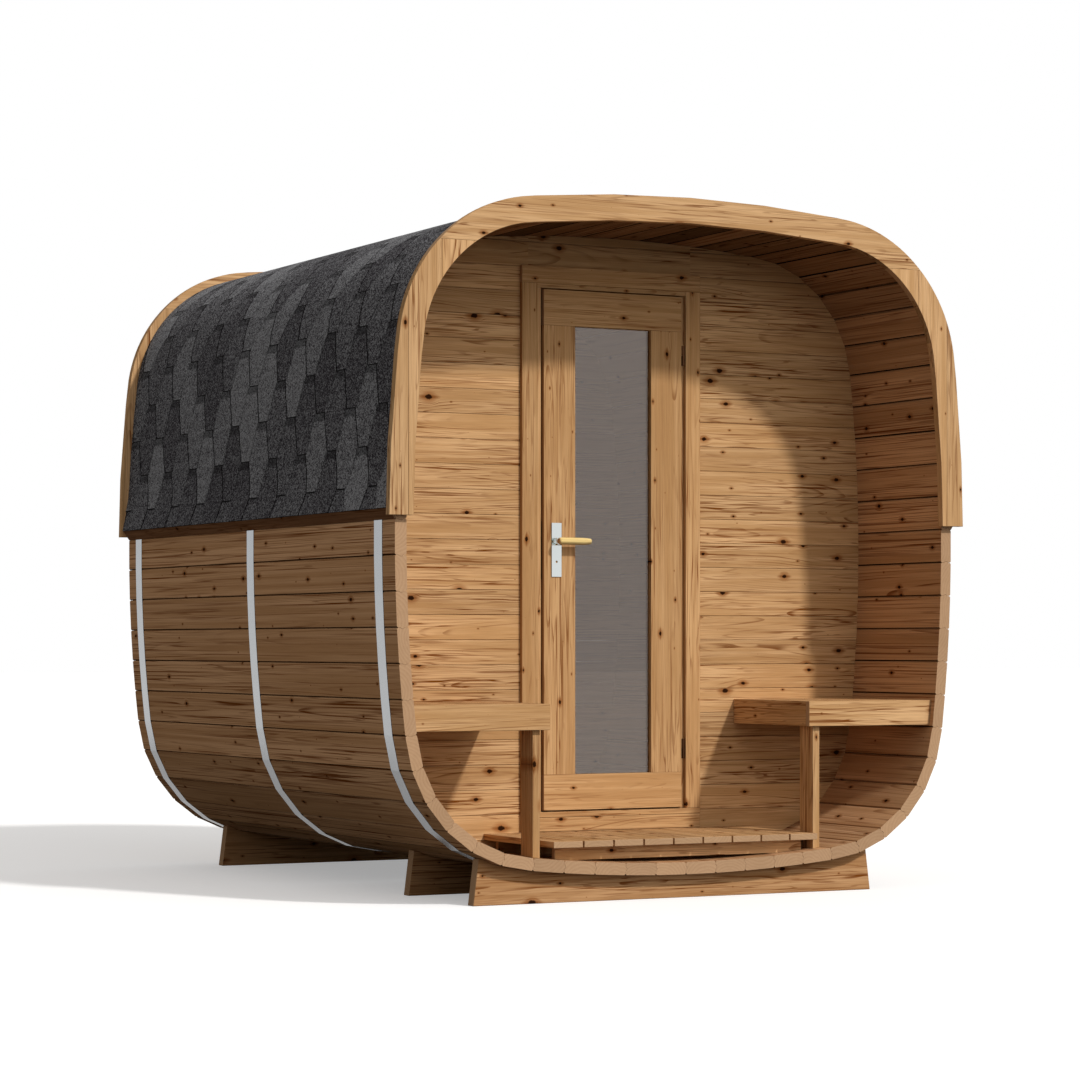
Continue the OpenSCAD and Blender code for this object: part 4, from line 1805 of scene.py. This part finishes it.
@dataclass
class RoomBenches(BoardWork):
    """The two benches seen through the glass."""

    board: float = 28 * MM
    gap: float = 8 * MM
    post_x: tuple[float, ...] = (-0.6, 0.0, 0.6)
    upper_boards: int = 5
    lower_boards: int = 3

    def bench(self, node: str, count: int) -> None:
        """Models one bench.

        Args:
            node: Its CAD node.
            count: The number of its seat boards.
        """
        low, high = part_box(node)
        wide = OUTLINE.half_width
        self.add((-wide, low.y, low.z), (wide, low.y + self.board, high.z), LEVEL_BOARD, fit=True)
        board = (high.y - low.y - self.board - self.gap * count) / count
        for i in range(count):
            y = low.y + self.board + self.gap + i * (board + self.gap)
            self.add((-wide, y, high.z - self.board), (wide, y + board, high.z), LEVEL_SLAT, fit=True)
        for x in self.post_x:
            self.add(
                (x - self.board / 2, low.y + self.board, low.z),
                (x + self.board / 2, high.y, high.z - self.board), DEEP_BOARD,
            )
        self.assemble(f"{node}_boards", node)

    def build(self) -> None:
        """Models and mounts both benches."""
        self.bench("upper_bench", self.upper_boards)
        self.bench("lower_bench", self.lower_boards)


@dataclass
class Underside(Assembly):
    """Cradles cut to the shell, and the steel bands round it."""

    steel: Material
    ease: float = 2.0 * MM

    def build(self) -> None:
        """Models and mounts the cradles and dresses the bands."""
        for place in ("front", "middle", "rear"):
            node = f"{place}_cradle"
            cradle = LEVEL_BOARD.mark(Piece.of_node(node).ease(self.ease), self.dice)
            self.fix(joined([cradle], f"{node}_plank"), "stave_wood", node)
            dress_node(f"{place}_band", self.steel)


# ---- studio ----


@dataclass
class Studio:
    """Camera, lights, sky and a plain pale floor."""

    eye: Vector = field(default_factory=lambda: Vector((-5.5243, -10.5626, 0.8687)))
    heading: float = -27.96
    sensor: float = 36.0
    lens: float = 105.75
    lift: float = 0.0967
    far: float = 400.0
    sun_way: Vector = field(default_factory=lambda: Vector((-0.284, 0.733, -0.618)))
    sun_strength: float = 2.38
    sun_width: float = 4.0
    sun_colour: Colour = (1.0, 0.985, 0.96, 1.0)
    fill_way: Vector = field(default_factory=lambda: Vector((-0.30, 0.93, -0.15)))
    fill_strength: float = 1.20
    fill_width: float = 70.0
    sky_strength: float = 0.42
    sky_colour: Colour = (1.0, 0.965, 0.93, 1.0)
    floor_size: float = 160.0
    floor_drop: float = 0.2 * MM
    floor_glow: float = 0.34
    floor_seen: Colour = (0.8, 0.8, 0.8, 1.0)
    floor_lit: Colour = (0.15, 0.145, 0.14, 1.0)

    def camera(self) -> None:
        """Sets up the camera."""
        data = bpy.data.cameras.new("view")
        data.sensor_width = self.sensor
        data.lens = self.lens
        data.shift_y = self.lift
        data.clip_end = self.far
        camera = show("view", data)
        camera.location = self.eye
        camera.rotation_euler = (math.pi / 2, 0.0, math.radians(self.heading))
        bpy.context.scene.camera = camera

    def lamp(self, name: str, way: Vector, strength: float, width: float, colour: Colour) -> None:
        """Hangs a far lamp.

        Args:
            name: The lamp's name.
            way: The way that its light goes.
            strength: Its strength.
            width: How wide it looks, in degrees.
            colour: Its colour.
        """
        data = bpy.data.lights.new(name, "SUN")
        data.energy = strength
        data.angle = math.radians(width)
        data.color = colour[:3]
        lamp = show(name, data)
        lamp.rotation_euler = way.to_track_quat("-Z", "Y").to_euler()
        lamp.visible_glossy = False
        lamp.visible_transmission = False

    def seen(self, tree: Tree) -> Signal:
        """Tells what is seen from what lights the object.

        Args:
            tree: The tree that asks.

        Returns:
            1 for what the camera, a mirror or glass sees, and 0 for light on the object.
        """
        rays = tree.add("ShaderNodeLightPath").outputs
        total = Signal(tree, rays["Is Camera Ray"])
        for name in ("Is Glossy Ray", "Is Transmission Ray"):
            total = total.most(Signal(tree, rays[name]))
        return total

    def sky(self) -> None:
        """Makes an even sky, white where it is seen."""
        world = bpy.data.worlds.new("studio")
        bpy.context.scene.world = world
        tree = Tree(world)
        light = tree.add("ShaderNodeBackground", {"Color": self.sky_colour, "Strength": self.sky_strength})
        white = tree.add("ShaderNodeBackground", {"Color": WHITE})
        mix = tree.add("ShaderNodeMixShader", {0: self.seen(tree), 1: light.outputs[0], 2: white.outputs[0]})
        tree.add("ShaderNodeOutputWorld", {"Surface": mix.outputs[0]})

    def floor(self) -> None:
        """Lays a pale floor that keeps the shadow."""
        deselect_all()
        bpy.ops.mesh.primitive_plane_add(size=self.floor_size, location=(0.0, 0.0, -self.floor_drop))
        floor = bpy.context.object
        floor.name = "studio_floor"
        tree = Tree(bpy.data.materials.new("studio_floor"))
        pale = tree.add("ShaderNodeBsdfDiffuse", {"Color": self.floor_seen})
        glow = tree.add("ShaderNodeEmission", {"Color": WHITE, "Strength": self.floor_glow})
        lit = tree.add("ShaderNodeAddShader", {0: pale.outputs[0], 1: glow.outputs[0]})
        dull = tree.add("ShaderNodeBsdfDiffuse", {"Color": self.floor_lit})
        mix = tree.add("ShaderNodeMixShader", {0: self.seen(tree), 1: dull.outputs[0], 2: lit.outputs[0]})
        tree.add("ShaderNodeOutputMaterial", {"Surface": mix.outputs[0]})
        floor.data.materials.append(tree.owner)

    def build(self) -> None:
        """Sets up the whole studio."""
        self.camera()
        self.lamp("key", self.sun_way, self.sun_strength, self.sun_width, self.sun_colour)
        self.lamp("fill", self.fill_way, self.fill_strength, self.fill_width, WHITE)
        self.sky()
        self.floor()
        bpy.context.scene.view_settings.view_transform = "Standard"


def main() -> None:
    """Builds the sauna and its studio."""
    finishes = Finishes()
    Studio().build()
    assemblies = (
        (StaveShell, finishes.stave),
        (Roof, finishes.shingle, finishes.eave),
        (Fascia, finishes.trim),
        (BoardWalls, finishes.board),
        (DoorFrame, finishes.joinery),
        (Door, finishes.joinery, finishes.glass, finishes.plated, finishes.hinge, finishes.grip),
        (Benches, finishes.board),
        (Duckboards, finishes.board),
        (RoomBenches, finishes.trim),
        (Underside, finishes.underside, finishes.band),
    )
    for seed, (kind, *materials) in enumerate(assemblies, FIRST_SEED):
        kind(random.Random(seed), *materials).build()
    deselect_all()


if __name__ == "__main__":
    main()
